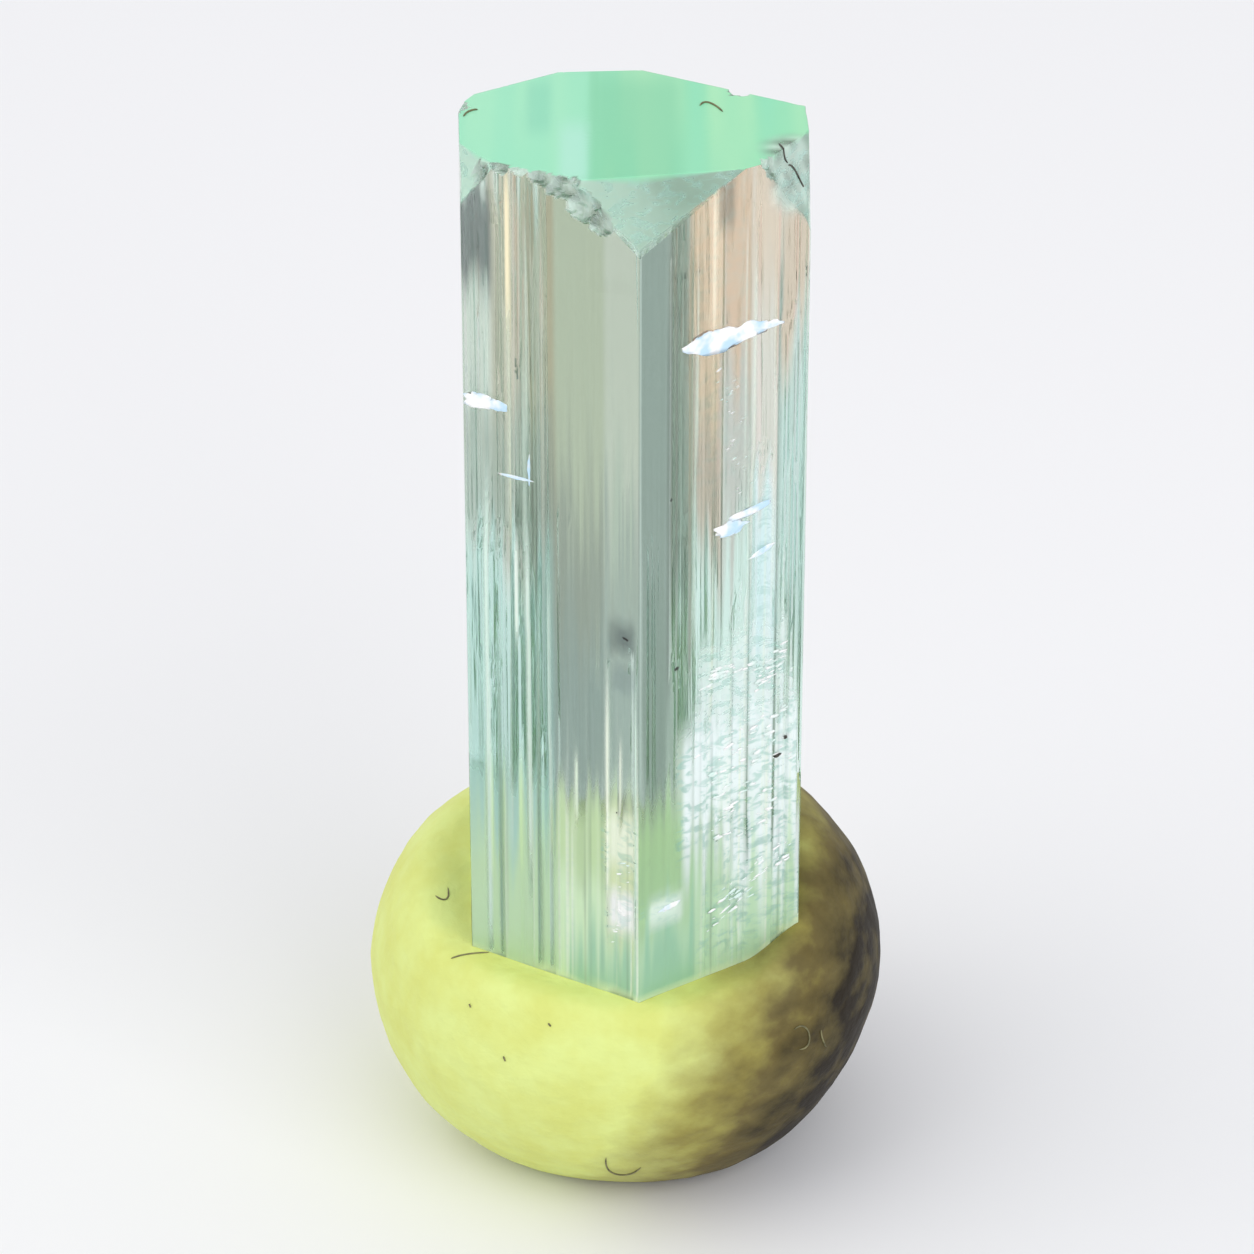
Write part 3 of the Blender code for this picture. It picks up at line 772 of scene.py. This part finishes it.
# Fractures that come up to the front faces, thin lenses of air.
FRACTURES = (
    ("front", 2.85, 0.0, 33.2, 1.0, 0.03, 0.42, -0.07),
    ("front", 3.9, 0.0, 33.25, 0.85, 0.03, 0.3, -0.04),
    ("front", 4.75, 0.0, 33.25, 0.6, 0.03, 0.12, -0.06),
    ("left_front", 0.55, 0.0, 30.45, 0.5, 0.03, 0.28, 0.1),
    ("left_front", 1.15, 0.0, 30.42, 0.4, 0.03, 0.2, 0.05),
    ("front", 3.45, 0.0, 26.32, 0.62, 0.03, 0.24, 0.02),
    ("front", 4.25, 0.0, 26.72, 0.72, 0.03, 0.15, 0.14),
    ("front", 4.72, 0.0, 25.1, 0.42, 0.02, 0.09, 0.3),
    ("left_front", 1.85, 0.0, 28, 0.52, 0.02, 0.06, 0.0),
    ("left_front", 2.36, 0.0, 28.4, 0.05, 0.02, 0.45, 0.0),
    ("front", 1.2, 0.0, 12.62, 0.34, 0.02, 0.1, 0.2),
)
FRACTURE_COLUMNS = 40
FRACTURE_RINGS = 11
FRACTURE_SEED = 61

# Dark specks of other minerals.
SPECKS = (
    ("front", 1.25, 0.2, 27.9, 0.06, 0.03, 0.05, 0.0), ("front", 1.5, 0.2, 21.6, 0.09, 0.03, 0.05, 0.3),
    ("front", 0.38, 0.15, 14.5, 0.1, 0.03, 0.07, 0.5), ("front", 5.4, 0.03, 17.1, 0.16, 0.05, 0.06, 0.2),
    ("front", 5.72, 0.03, 17.7, 0.07, 0.05, 0.06, 0.0),
    ("left_front", 5.78, 0.2, 23.02, 0.12, 0.03, 0.05, -0.3),
    ("left_front", 5.5, 0.15, 16.35, 0.1, 0.03, 0.06, 0.1),
    ("left_front", 5.85, 0.15, 16.55, 0.13, 0.03, 0.05, -0.2),
)

# Clouds of small flaws that come up to the faces: face, the ends of the line that they lie along,
# distance and height, how far they scatter along the face and upwards, least and greatest half
# width, how many, and how they climb.
FLAW_CLOUDS = (
    ("front", 2.6, 16.4, 5.8, 16.8, 0.5, 2.2, 0.04, 0.22, 120, 0.1),
    ("front", 2.8, 11.6, 5.9, 13.4, 0.3, 0.6, 0.04, 0.2, 50, 0.35),
    ("front", 2.6, 20.9, 4.2, 21, 0.2, 0.3, 0.05, 0.22, 34, 0.15),
    ("front", 4.5, 20.3, 5.6, 20.9, 0.2, 0.5, 0.05, 0.22, 34, 0.1),
    ("front", 3.2, 32, 4.0, 27.6, 0.4, 0.5, 0.04, 0.11, 26, 0.3),
    ("left_front", 5.5, 11, 5.9, 15, 0.25, 0.4, 0.04, 0.12, 14, 0.2),
)
FLAW_COLUMNS = 9
FLAW_RINGS = 5
FLAW_THICKNESS = 0.02 * MM
FLAW_FLATNESS = (0.12, 0.4)  # height of a flaw for its width
FLAW_TILT = 0.2  # how much more or less than its cloud one climbs
FLAW_SEED = 67

LENS_ROUGHNESS = 0.45  # share of its size by which a lens is uneven
LENS_LUMPS = 0.5  # size of its lumps, in radii
LENS_VARIETY = (5.3, 0.0, 0.0)  # step through the noise from one lens to the next


def lens_mesh(name, lenses, columns, rings, seed):
    """Many closed lenses at the crystal's faces. Each is a ball, made uneven by noise, squeezed to
    its half sizes and sheared: its height grows by its climb times the way along the face."""
    edges = plan_edges()
    own = [edges[lens[0]][:3] for lens in lenses]
    corner, step, inward = (np.array(part)[:, None, None] for part in zip(*own))
    numbers = np.array([lens[1:] for lens in lenses])[:, None, None]
    rise = np.linspace(-math.pi / 2, math.pi / 2, rings + 2)[:, None]
    ball = unit_vector(np.arange(columns) * math.tau / columns, rise)
    shifts = np.arange(len(lenses))[:, None, None, None] * np.array(LENS_VARIETY)
    uneven = 1 + LENS_ROUGHNESS * soft_noise(ball + shifts, LENS_LUMPS, seed)
    local = ball * numbers[..., 3:6] * uneven[..., None]
    local[..., 2] += local[..., 0] * numbers[..., 6]
    local += numbers[..., :3]
    place = corner + local[..., :1] * step + local[..., 1:2] * inward
    points = on_heights(place, local[..., 2])
    return ring_mesh(name, points[:, 1:-1], points[:, 0, 0], points[:, -1, 0])


def small_flaws():
    """The lenses of the clouds of flaws, from a seeded draw."""
    draw = np.random.default_rng(FLAW_SEED)
    lenses = []
    for face, start, low, end, high, aside, upright, least, most, count, climb in rows(FLAW_CLOUDS, 8):
        for _ in range(count):
            share = draw.uniform()
            along = start + (end - start) * share + draw.uniform(-aside, aside)
            height = low + (high - low) * share + draw.uniform(-upright, upright)
            half = least * (most / least) ** draw.uniform()
            flat = draw.uniform(*FLAW_FLATNESS) * half
            tilt = climb + draw.uniform(-FLAW_TILT, FLAW_TILT)
            lenses.append((face, along, 0.0, height, half, FLAW_THICKNESS, flat, tilt))
    return lenses


# ---- the putty's form

PUTTY_PITCH = 0.085 * MM
PUTTY_ROWS = 150
POCKET_ROWS = 14
POCKET_FLOOR = (0.7, 0.35)  # where the rings on the pocket's floor lie, as shares of the way out
PUTTY_GAP = 0.012 * MM  # air between the putty and the crystal
LUMPS = ((4.5, 0.06), (1.7, 0.035), (0.7, 0.018), (0.32, 0.010))  # sizes and heights in millimetres
LUMP_SEED = 40
LUMPS_FADE = 0.8 * MM  # stretch beside the crystal where the lumps come in
PRESSED_SOFTNESS = 0.12 * MM  # how gently the skin turns in where it meets the table
PUTTY_CREASE = math.radians(50)  # sharper edges than this are shaded as edges


def outside_plan(place):
    """How far a place lies outside the crystal's plan, or 0 within it."""
    furthest = np.zeros(place.shape[:-1])
    for corner, _, inward, _ in plan_edges():
        furthest = np.maximum(furthest, (corner - place) @ inward)
    return furthest


def contact_height(place):
    """Height at which the putty meets the crystal: nearly level along the two front faces, then
    rising to the back, and higher at the right side."""
    corners = plan_corners()
    shoulder = corners[CORNERS.index("left_front"), 1]
    back = corners[CORNERS.index("back"), 1]
    backward = ease((place[..., 1] - shoulder) / (back - shoulder))
    aside = np.minimum(np.abs(place[..., 0] - FRONT_EDGE[0]) / (CRYSTAL_WIDTH / 2), 1.0)
    rightward = ease((place[..., 0] - RIGHT_RISE_FROM) / (RIGHT_RISE_TO - RIGHT_RISE_FROM))
    height = CONTACT_FRONT + (CONTACT_BACK - CONTACT_FRONT) * backward
    return height + SIDE_RISE * aside**2 + RIGHT_RISE * rightward


def unit_vector(heading, rise):
    """The unit vector with this heading and rise, in radians."""
    level = np.cos(rise)
    parts = (np.cos(heading) * level, np.sin(heading) * level, np.sin(rise))
    return np.stack(np.broadcast_arrays(*parts), axis=-1)


def pressed_in(unit):
    """How far fingers pressed the ball in: a hollow of depth times exp(-(angle / width)^2) round
    each direction."""
    depth = np.zeros(unit.shape[:-1])
    for heading, rise, deepest, width in PRESSES:
        middle = unit_vector(math.radians(heading), math.radians(rise))
        angle = np.arccos(np.clip(unit @ middle, -1, 1))
        depth += deepest * np.exp(-((angle / math.radians(width)) ** 2))
    return depth


def above_zero(height, softness):
    """The height where it is above 0, and near 0 below, softly: (h + sqrt(h^2 + softness^2)) / 2."""
    return (height + np.sqrt(height**2 + softness**2)) / 2


def putty_skin(unit):
    """The putty's skin in each direction: a flattened ball with soft lumps and finger hollows,
    drawn down smoothly to the contact height round the crystal and pressed nearly flat on the table."""
    half_sizes = np.array([BALL_RADIUS, BALL_RADIUS, BALL_HALF_HEIGHT])
    swell = sum(
        height * soft_noise(unit * BALL_RADIUS, size, LUMP_SEED + number)
        for number, (size, height) in enumerate(np.array(LUMPS) * MM)
    )
    upper = unit[..., 2] > 0
    free = np.where(upper, ease(outside_plan(unit[..., :2] * BALL_RADIUS) / LUMPS_FADE), 1.0)
    scale = 1 + (swell * free - pressed_in(unit)) / BALL_RADIUS
    skin = unit * half_sizes * scale[..., None]
    skin[..., 2] += BALL_MIDDLE
    near = np.exp(-((outside_plan(skin[..., :2]) / DIMPLE_REACH) ** 2))
    over = skin[..., 2] - contact_height(skin[..., :2])
    skin[..., 2] -= np.where(upper, near * above_zero(over, DIMPLE_SOFTNESS), 0.0)
    skin[..., 2] = above_zero(skin[..., 2], PRESSED_SOFTNESS)
    return skin


def putty_rings():
    """The putty's surface. Each column runs from under the ball along a meridian of the flattened
    ball to the point where it meets the crystal, then down the pocket's wall to its floor."""
    middle = plan_corners().mean(axis=0)
    wall = middle + (perimeter(PUTTY_PITCH, {})[0] - middle) * (1 + PUTTY_GAP / (CRYSTAL_WIDTH / 2))
    distance = np.linalg.norm(wall, axis=-1)
    last = math.pi - np.arcsin(distance / BALL_RADIUS)
    polar = last * np.linspace(0, 1, PUTTY_ROWS + 1)[1:, None]
    skin = putty_skin(on_heights(wall / distance[:, None] * np.sin(polar)[..., None], -np.cos(polar)))

    floor = CRYSTAL_FOOT - PUTTY_GAP
    rim = skin[-1, :, 2]
    depth = rim + (floor - rim) * np.linspace(0, 1, POCKET_ROWS + 1)[1:, None]
    pocket = on_heights(np.broadcast_to(wall, depth.shape + (2,)), depth)
    inward = middle + (wall - middle) * np.array(POCKET_FLOOR)[:, None, None]
    base = on_heights(inward, np.full(inward.shape[:-1], floor))
    return np.concatenate([skin, pocket, base]), [np.zeros(3), np.append(middle, floor)]


def make_putty(material):
    """The putty ball with its pocket, pressed flat where it stands."""
    rings, poles = putty_rings()
    mesh = ring_mesh("mineral_putty", rings[None], *poles)
    putty = add_piece(mesh, material)
    mesh.set_sharp_from_angle(angle=PUTTY_CREASE)
    return putty


# ---- dust fibres

# Fibres on the putty, each by the headings and rises in degrees of the points that it passes.
PUTTY_FIBRES = (
    ((-162.3, 43.5), (-159.0, 42.5), (-158.5, 40.5), (-160.5, 38.5)),
    ((-139.5, 28.5), (-137.0, 34.0), (-133.5, 40.5)),
    ((-128.8, 18.4), (-128.2, 17.6)),
    ((-108.3, 19.8), (-107.6, 19.1)),
    ((-95.0, -22.5), (-94.2, -31.5), (-90.5, -33.5), (-86.5, -28.0)),
    ((-49.8, 10.2), (-46.3, 9.0), (-45.8, 5.0), (-48.8, 4.2)),
    ((-41.6, 6.0), (-41.2, 3.2), (-39.8, -0.4)),
    ((-118.0, 8.0), (-117.4, 6.8)),
)
# Fibres on the crystal's upper end, by the places in plan that they pass.
ROOF_FIBRES = (
    ((2.31, -0.82), (2.52, -0.56), (2.79, -0.80), (3.03, -1.27)),
    ((-4.72, -1.10), (-5.00, -1.25), (-5.16, -1.62)),
)
# Dirty cracks in the crumbled corner, by the places in plan that they pass.
CRACKS = (
    ((5.04, -4.04), (5.24, -3.85), (5.43, -3.78), (5.55, -3.72)),
    ((4.74, -3.62), (4.87, -3.98), (4.93, -4.08), (5.02, -4.03)),
)
FIBRE_RADIUS = 0.032 * MM
FIBRE_RINGS = 30
FIBRE_COLUMNS = 6
FIBRE_RISE = 0.6  # how far its middle stands over what it lies on, in radii
FIBRE_TAPER = 8  # power of the way to its ends with which it thins
FIBRE_TIP = 0.04  # share of its section that is left there


def along_curve(stops, count):
    """Points along the polynomial curve that passes its stops at even steps."""
    stops = np.array(stops)
    steps = np.linspace(0, 1, len(stops))
    fit = np.linalg.solve(np.vander(steps), stops)
    return np.vander(np.linspace(0, 1, count), len(stops)) @ fit


def fibre_rings(path, outward):
    """A tube round a path: rings of radius r in the plane across it, thinner at both its ends."""
    forward = normalised(np.gradient(path, axis=0))
    aside = normalised(np.cross(forward, outward))
    over = np.cross(aside, forward)
    turn = (np.arange(FIBRE_COLUMNS) * math.tau / FIBRE_COLUMNS)[:, None]
    share = np.linspace(-1, 1, len(path))[:, None, None]
    radius = FIBRE_RADIUS * np.sqrt(np.maximum(1 - share**FIBRE_TAPER, FIBRE_TIP))
    round_path = aside[:, None] * np.cos(turn) - over[:, None] * np.sin(turn)
    return path[:, None] + FIBRE_RISE * FIBRE_RADIUS * outward[:, None] - radius * round_path


def roof_strands(paths):
    """Fibres or cracks along places in plan, on the crystal's upper end."""
    places = [along_curve(np.array(stops) * MM, FIBRE_RINGS) for stops in paths]
    upward = np.tile([0.0, 0.0, 1.0], (FIBRE_RINGS, 1))
    return [fibre_rings(on_heights(place, roof_height(place)), upward) for place in places]


def putty_strands(paths):
    """Fibres along headings and rises, on the putty."""
    units = [unit_vector(*np.radians(along_curve(stops, FIBRE_RINGS)).T) for stops in paths]
    return [fibre_rings(putty_skin(unit), unit) for unit in units]


def make_strands(name, bodies, material):
    """One piece of several fibres."""
    rings = np.array(bodies)
    mesh = ring_mesh(name, rings, rings[:, 0].mean(axis=1), rings[:, -1].mean(axis=1))
    return add_piece(mesh, material)


# ---- materials

BERYL_IOR = 1.577
BERYL_DEPTH = (0.55, 0.87, 0.76, 1.0)  # what its depth lets through, and how dense that is per metre
BERYL_DENSITY = 22.0
CLOUD_WIDTH = 0.55 * MM  # size of the clouds in the frosted stretches
CLOUD_HEIGHT = 0.26 * MM
GAP_DEPTH = 0.2  # how far the frosted stretches clear up in the gaps of their clouds
GAP_SHADE = 0.55  # how much deeper the colour is there
GAP_COLOUR = "#94CFC4"
GAP_POLISH = 0.6  # and how much smoother the surface
FROST_ROUGHNESS = 0.5
FACE_ROUGHNESS = 0.02

# Painted shade on the putty: its colour turns darker and browner towards the right and lower side, away from
# the key light, with a mottle.
PAINTED_SHADE_SLOPE = (0.12, 0.0, -0.055)  # how the painted shade grows with x, y and z, for each millimetre: darker towards the right and lower side
PAINTED_SHADE_START = 0.36  # how much there is where x, y and z are 0
PAINTED_SHADE_EVEN = 0.6  # how much of its mottling it has there
PAINTED_SHADE_MOST = 0.54  # how much is added where it is darkest
PAINTED_SHADE_MOTTLE = 0.8
PAINTED_SHADE_PATCH = 1.5 * MM
PAINTED_SHADE_COLOURS = (
    (0.04, "#DEEA91"), (0.24, "#BABC70"), (0.40, "#9B9554"), (0.58, "#6F643B"), (0.90, "#231B0C"),
)
PUTTY_CLOUD = 2.2 * MM  # size of the paler clouds in the clean putty
PUTTY_GRAIN = 0.35 * MM


def add(tree, kind, inputs=None, stops=None, output=None, **settings):
    """Adds a node with its settings, and gives the output named or else the first one in use. An input
    is a value, a hex colour or another node's output, and stops are a colour ramp's positions and hex
    colours or greys."""
    node = tree.nodes.new("ShaderNode" + kind)
    for name, value in settings.items():
        setattr(node, name, value)
    for name, value in (inputs or {}).items():
        if isinstance(value, bpy.types.NodeSocket):
            tree.links.new(value, node.inputs[name])
        else:
            node.inputs[name].default_value = linear(value) if isinstance(value, str) else value
    if stops:
        elements = node.color_ramp.elements
        while len(elements) < len(stops):
            elements.new(0.5)
        for element, (position, colour) in zip(elements, stops):
            element.position = position
            element.color = linear(colour) if isinstance(colour, str) else [colour] * 3 + [1.0]
    if output:
        return node.outputs[output]
    return next(socket for socket in node.outputs if not socket.is_unavailable)


def new_material(name):
    """A material with an empty node tree. Gives both, and the place in the object's own frame."""
    material = bpy.data.materials.new(name)
    material.use_nodes = True
    tree = material.node_tree
    tree.nodes.clear()
    return material, tree, add(tree, "TexCoord", output="Object")


def finished(material, shader, volume=None):
    """The material, with its shader on the surface and what its body is filled with."""
    tree = material.node_tree
    output = tree.nodes.new("ShaderNodeOutputMaterial")
    tree.links.new(shader, output.inputs["Surface"])
    if volume:
        tree.links.new(volume, output.inputs["Volume"])
    return material


def patchy(name, *stops, size, roughness):
    """A material in patches of this size, with one roughness."""
    material, tree, place = new_material(name)
    patch = add(tree, "TexNoise", {"Vector": place, "Scale": 1 / size})
    surface = {"Base Color": add(tree, "ValToRGB", {"Fac": patch}, stops), "Roughness": roughness}
    return finished(material, add(tree, "BsdfPrincipled", surface))


def aquamarine():
    """Pale green beryl with natural growth faces: glassy, with milky growth lines that scatter the light,
    frosted stretches and thin films of clay, and with painted warm reflections and painted darker
    surroundings among its tints."""
    material, tree, place = new_material("aquamarine beryl, natural faces")
    tint = add(tree, "Attribute", attribute_name="tint")
    milk = add(tree, "Attribute", output="Fac", attribute_name="milk")
    frost = add(tree, "Attribute", output="Fac", attribute_name="frost")
    steps = (1 / CLOUD_WIDTH, 1 / CLOUD_WIDTH, 1 / CLOUD_HEIGHT)
    flat = add(tree, "Mapping", {"Vector": place, "Scale": steps})
    patch = add(tree, "TexNoise", {"Vector": flat, "Scale": 1.0, "Roughness": 0.6, "Distortion": 0.8})
    gaps = add(tree, "ValToRGB", {"Fac": patch}, stops=((0.38, 1.0), (0.52, 0.0)))
    torn = add(tree, "Math", {0: gaps, 1: frost}, operation="MULTIPLY")
    milky = {0: torn, 1: -GAP_DEPTH, 2: milk}
    scatter = add(tree, "Math", milky, operation="MULTIPLY_ADD", use_clamp=True)
    shade = add(tree, "Math", {0: torn, 1: GAP_SHADE}, operation="MULTIPLY")
    matt = add(tree, "Math", {0: torn, 1: -GAP_POLISH, 2: frost}, operation="MULTIPLY_ADD")
    most = add(tree, "Math", {0: matt, 1: scatter}, operation="MAXIMUM")
    rough = {0: most, 1: FROST_ROUGHNESS, 2: FACE_ROUGHNESS}
    surface = {
        "Base Color": add(tree, "Mix", {"Factor": shade, "A": tint, "B": GAP_COLOUR}, data_type="RGBA"),
        "Roughness": add(tree, "Math", rough, operation="MULTIPLY_ADD"),
        "IOR": BERYL_IOR,
        "Transmission Weight": add(tree, "Math", {0: 1.0, 1: scatter}, operation="SUBTRACT", use_clamp=True),
    }
    depth = add(tree, "VolumeAbsorption", {"Color": BERYL_DEPTH, "Density": BERYL_DENSITY})
    return finished(material, add(tree, "BsdfPrincipled", surface), depth)


def air_filled_flaw(name, thinnest):
    """A thin film of air in a crack: it throws the light back white, with a cold tinge in patches
    where it is thinnest."""
    return patchy(name, (0.38, thinnest), (0.55, "#FFFFFF"), size=0.6 * MM, roughness=0.3)


def dark_mineral():
    """Dark specks of mica that the crystal grew round, brown-black with a dull shine."""
    return patchy("dark mica specks", (0.35, "#24211C"), (0.65, "#4A463C"), size=0.1 * MM, roughness=0.45)


def dust_fibre():
    """Textile lint: dark olive-brown, lighter along stretches where it has worn thin."""
    return patchy("textile lint", (0.35, "#5A573D"), (0.7, "#8F8A62"), size=0.3 * MM, roughness=0.8)


def mineral_putty():
    """Hand-rolled mineral putty: a soft, filled, matte plastic mass, yellow-green. Towards its right and
    lower side its colour carries painted shade, darker and browner, mottled and streaky, with the plain
    putty between."""
    material, tree, place = new_material("mineral putty, hand rolled")
    slopes = tuple(part / MM for part in PAINTED_SHADE_SLOPE)
    # The painted shade: darker and browner towards the right and lower side, mottled.
    side = add(tree, "VectorMath", {0: place, 1: slopes}, operation="DOT_PRODUCT")
    turned = add(tree, "Mapping", {"Vector": place, "Rotation": (0.5, 0.6, 0.3), "Scale": (1.0, 1.0, 1.5)})
    mottle = add(tree, "TexNoise", {"Vector": turned, "Scale": 1 / PAINTED_SHADE_PATCH, "Detail": 4.0})
    even = {0: mottle, 1: PAINTED_SHADE_MOTTLE, 2: -PAINTED_SHADE_MOTTLE / 2}
    swing = add(tree, "Math", even, operation="MULTIPLY_ADD")
    deepening = add(tree, "Math", {0: side, 1: PAINTED_SHADE_EVEN}, operation="ADD", use_clamp=True)
    spread = add(tree, "Math", {0: swing, 1: deepening, 2: PAINTED_SHADE_START}, operation="MULTIPLY_ADD")
    capped = add(tree, "Math", {0: side, 1: PAINTED_SHADE_MOST}, operation="MINIMUM")
    painted_shade = add(tree, "Math", {0: capped, 1: spread}, operation="ADD")
    clouds = {"Vector": place, "Scale": 1 / PUTTY_CLOUD, "Detail": 3.0, "Roughness": 0.6}
    pale = {"Fac": add(tree, "TexNoise", clouds)}
    layers = {
        "Factor": 1.0,
        "A": add(tree, "ValToRGB", {"Fac": painted_shade}, stops=PAINTED_SHADE_COLOURS),
        "B": add(tree, "ValToRGB", pale, stops=((0.35, "#F8F3DF"), (0.65, "#FFFFFF"))),
    }
    grains = {"Vector": place, "Scale": 1 / PUTTY_GRAIN, "Detail": 4.0, "Roughness": 0.6}
    fine = {"Height": add(tree, "TexNoise", grains), "Strength": 0.5, "Distance": 0.05 * MM}
    coarse = {"Height": mottle, "Strength": 0.6, "Distance": 0.25 * MM, "Normal": add(tree, "Bump", fine)}
    surface = {
        "Base Color": add(tree, "Mix", layers, data_type="RGBA", blend_type="MULTIPLY"),
        "Roughness": 0.62,
        "Specular IOR Level": 0.25,
        "Normal": add(tree, "Bump", coarse),
    }
    return finished(material, add(tree, "BsdfPrincipled", surface))


def studio_floor():
    """Pale matte card, which takes soft shadows and no shine."""
    material, tree, _ = new_material("pale matte card")
    return finished(material, add(tree, "BsdfPrincipled", {"Base Color": "#EFEFF2", "Roughness": 0.9}))


# ---- the stage

CAMERA_PLACE = (0.0, -161.88 * MM, 113.40 * MM)
CAMERA_DOWN = math.radians(30.16)
CAMERA_LENS = 160.1
CAMERA_NEAREST = 0.01
FLOOR_HALF = 3.0
LIGHT_TARGET = (0, 0, 0.02)
# The lights: place, width of the square, power and colour.
LIGHTS = {
    "key": ((-0.40, -0.14, 0.44), 0.55, 0.92, "#FFFEFC"),
    "fill": ((0.30, -0.42, 0.34), 0.45, 1.38, "#FFFFFF"),
}
WORLD_SLOPE = (-0.45, 0.45, 0.5)  # the way in which the studio grows brighter
WORLD_STRENGTH = 0.85
BOUNCES = {"max_bounces": 24, "glossy_bounces": 16, "transmission_bounces": 16}


def add_camera():
    """The camera, level and looking along +Y and down."""
    camera = link(bpy.data.objects.new("camera", bpy.data.cameras.new("camera")))
    camera.data.lens = CAMERA_LENS
    camera.data.clip_start = CAMERA_NEAREST
    camera.location = CAMERA_PLACE
    camera.rotation_euler = (math.radians(90) - CAMERA_DOWN, 0, 0)
    bpy.context.scene.camera = camera


def add_light(name, place, size, power, colour):
    """A square soft light that faces the object."""
    light = bpy.data.lights.new(name, "AREA")
    light.shape = "SQUARE"
    light.size = size
    light.energy = power
    light.color = linear(colour)[:3]
    obj = link(bpy.data.objects.new(name, light))
    obj.location = place
    back = np.array(place) - np.array(LIGHT_TARGET)
    heading = math.atan2(back[0], -back[1])
    rise = math.atan2(back[2], math.hypot(back[0], back[1]))
    obj.rotation_euler = (math.radians(90) - rise, 0, heading)


def add_world():
    """A pale studio that is brightest above and behind the object, on its left."""
    world = bpy.data.worlds.new("studio")
    world.use_nodes = True
    tree = world.node_tree
    background = tree.nodes["Background"]
    way = add(tree, "TexCoord", output="Generated")
    slope = add(tree, "VectorMath", {0: way, 1: WORLD_SLOPE}, operation="DOT_PRODUCT")
    shade = add(tree, "MapRange", {"Value": slope, "From Min": -0.7, "From Max": 0.6})
    sky = add(tree, "ValToRGB", {"Fac": shade}, stops=((0.0, "#C4C7CB"), (1.0, "#FFFFFF")))
    tree.links.new(sky, background.inputs["Color"])
    background.inputs["Strength"].default_value = WORLD_STRENGTH
    bpy.context.scene.world = world


def add_floor():
    """A flat floor under the object."""
    half = FLOOR_HALF
    corners = [(-half, -half, 0), (half, -half, 0), (half, half, 0), (-half, half, 0)]
    mesh = mesh_from("floor", corners, [range(4)])
    add_piece(mesh, studio_floor(), smooth=False)


def main():
    """Loads the frame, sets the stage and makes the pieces."""
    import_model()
    scene = bpy.context.scene
    scene.view_settings.view_transform = "Standard"
    for name, bounces in BOUNCES.items():
        setattr(scene.cycles, name, bounces)
    add_camera()
    add_world()
    for name, light in LIGHTS.items():
        add_light(name, *light)
    add_floor()

    crystal = make_crystal(aquamarine())
    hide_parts("crystal")
    putty = make_putty(mineral_putty())
    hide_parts("putty_base")
    fractures = lens_mesh("fractures", rows(FRACTURES, 6), FRACTURE_COLUMNS, FRACTURE_RINGS, FRACTURE_SEED)
    flaws = lens_mesh("small_flaws", small_flaws(), FLAW_COLUMNS, FLAW_RINGS, FLAW_SEED)
    specks = lens_mesh("dark_specks", rows(SPECKS, 6), FLAW_COLUMNS, FLAW_RINGS, FLAW_SEED)
    mica = dark_mineral()
    inside = [
        add_piece(fractures, air_filled_flaw("air-filled fractures in beryl", "#C6E6FA")),
        add_piece(flaws, air_filled_flaw("air-filled flaws in beryl", "#DDF3EC")),
        add_piece(specks, mica),
        make_strands("dirty_cracks", roof_strands(CRACKS), mica),
    ]
    for piece in (crystal, *inside):
        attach(piece, "root")
    strands = roof_strands(ROOF_FIBRES) + putty_strands(PUTTY_FIBRES)
    for piece in (putty, make_strands("dust_fibres", strands, dust_fibre())):
        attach(piece, "root")


main()
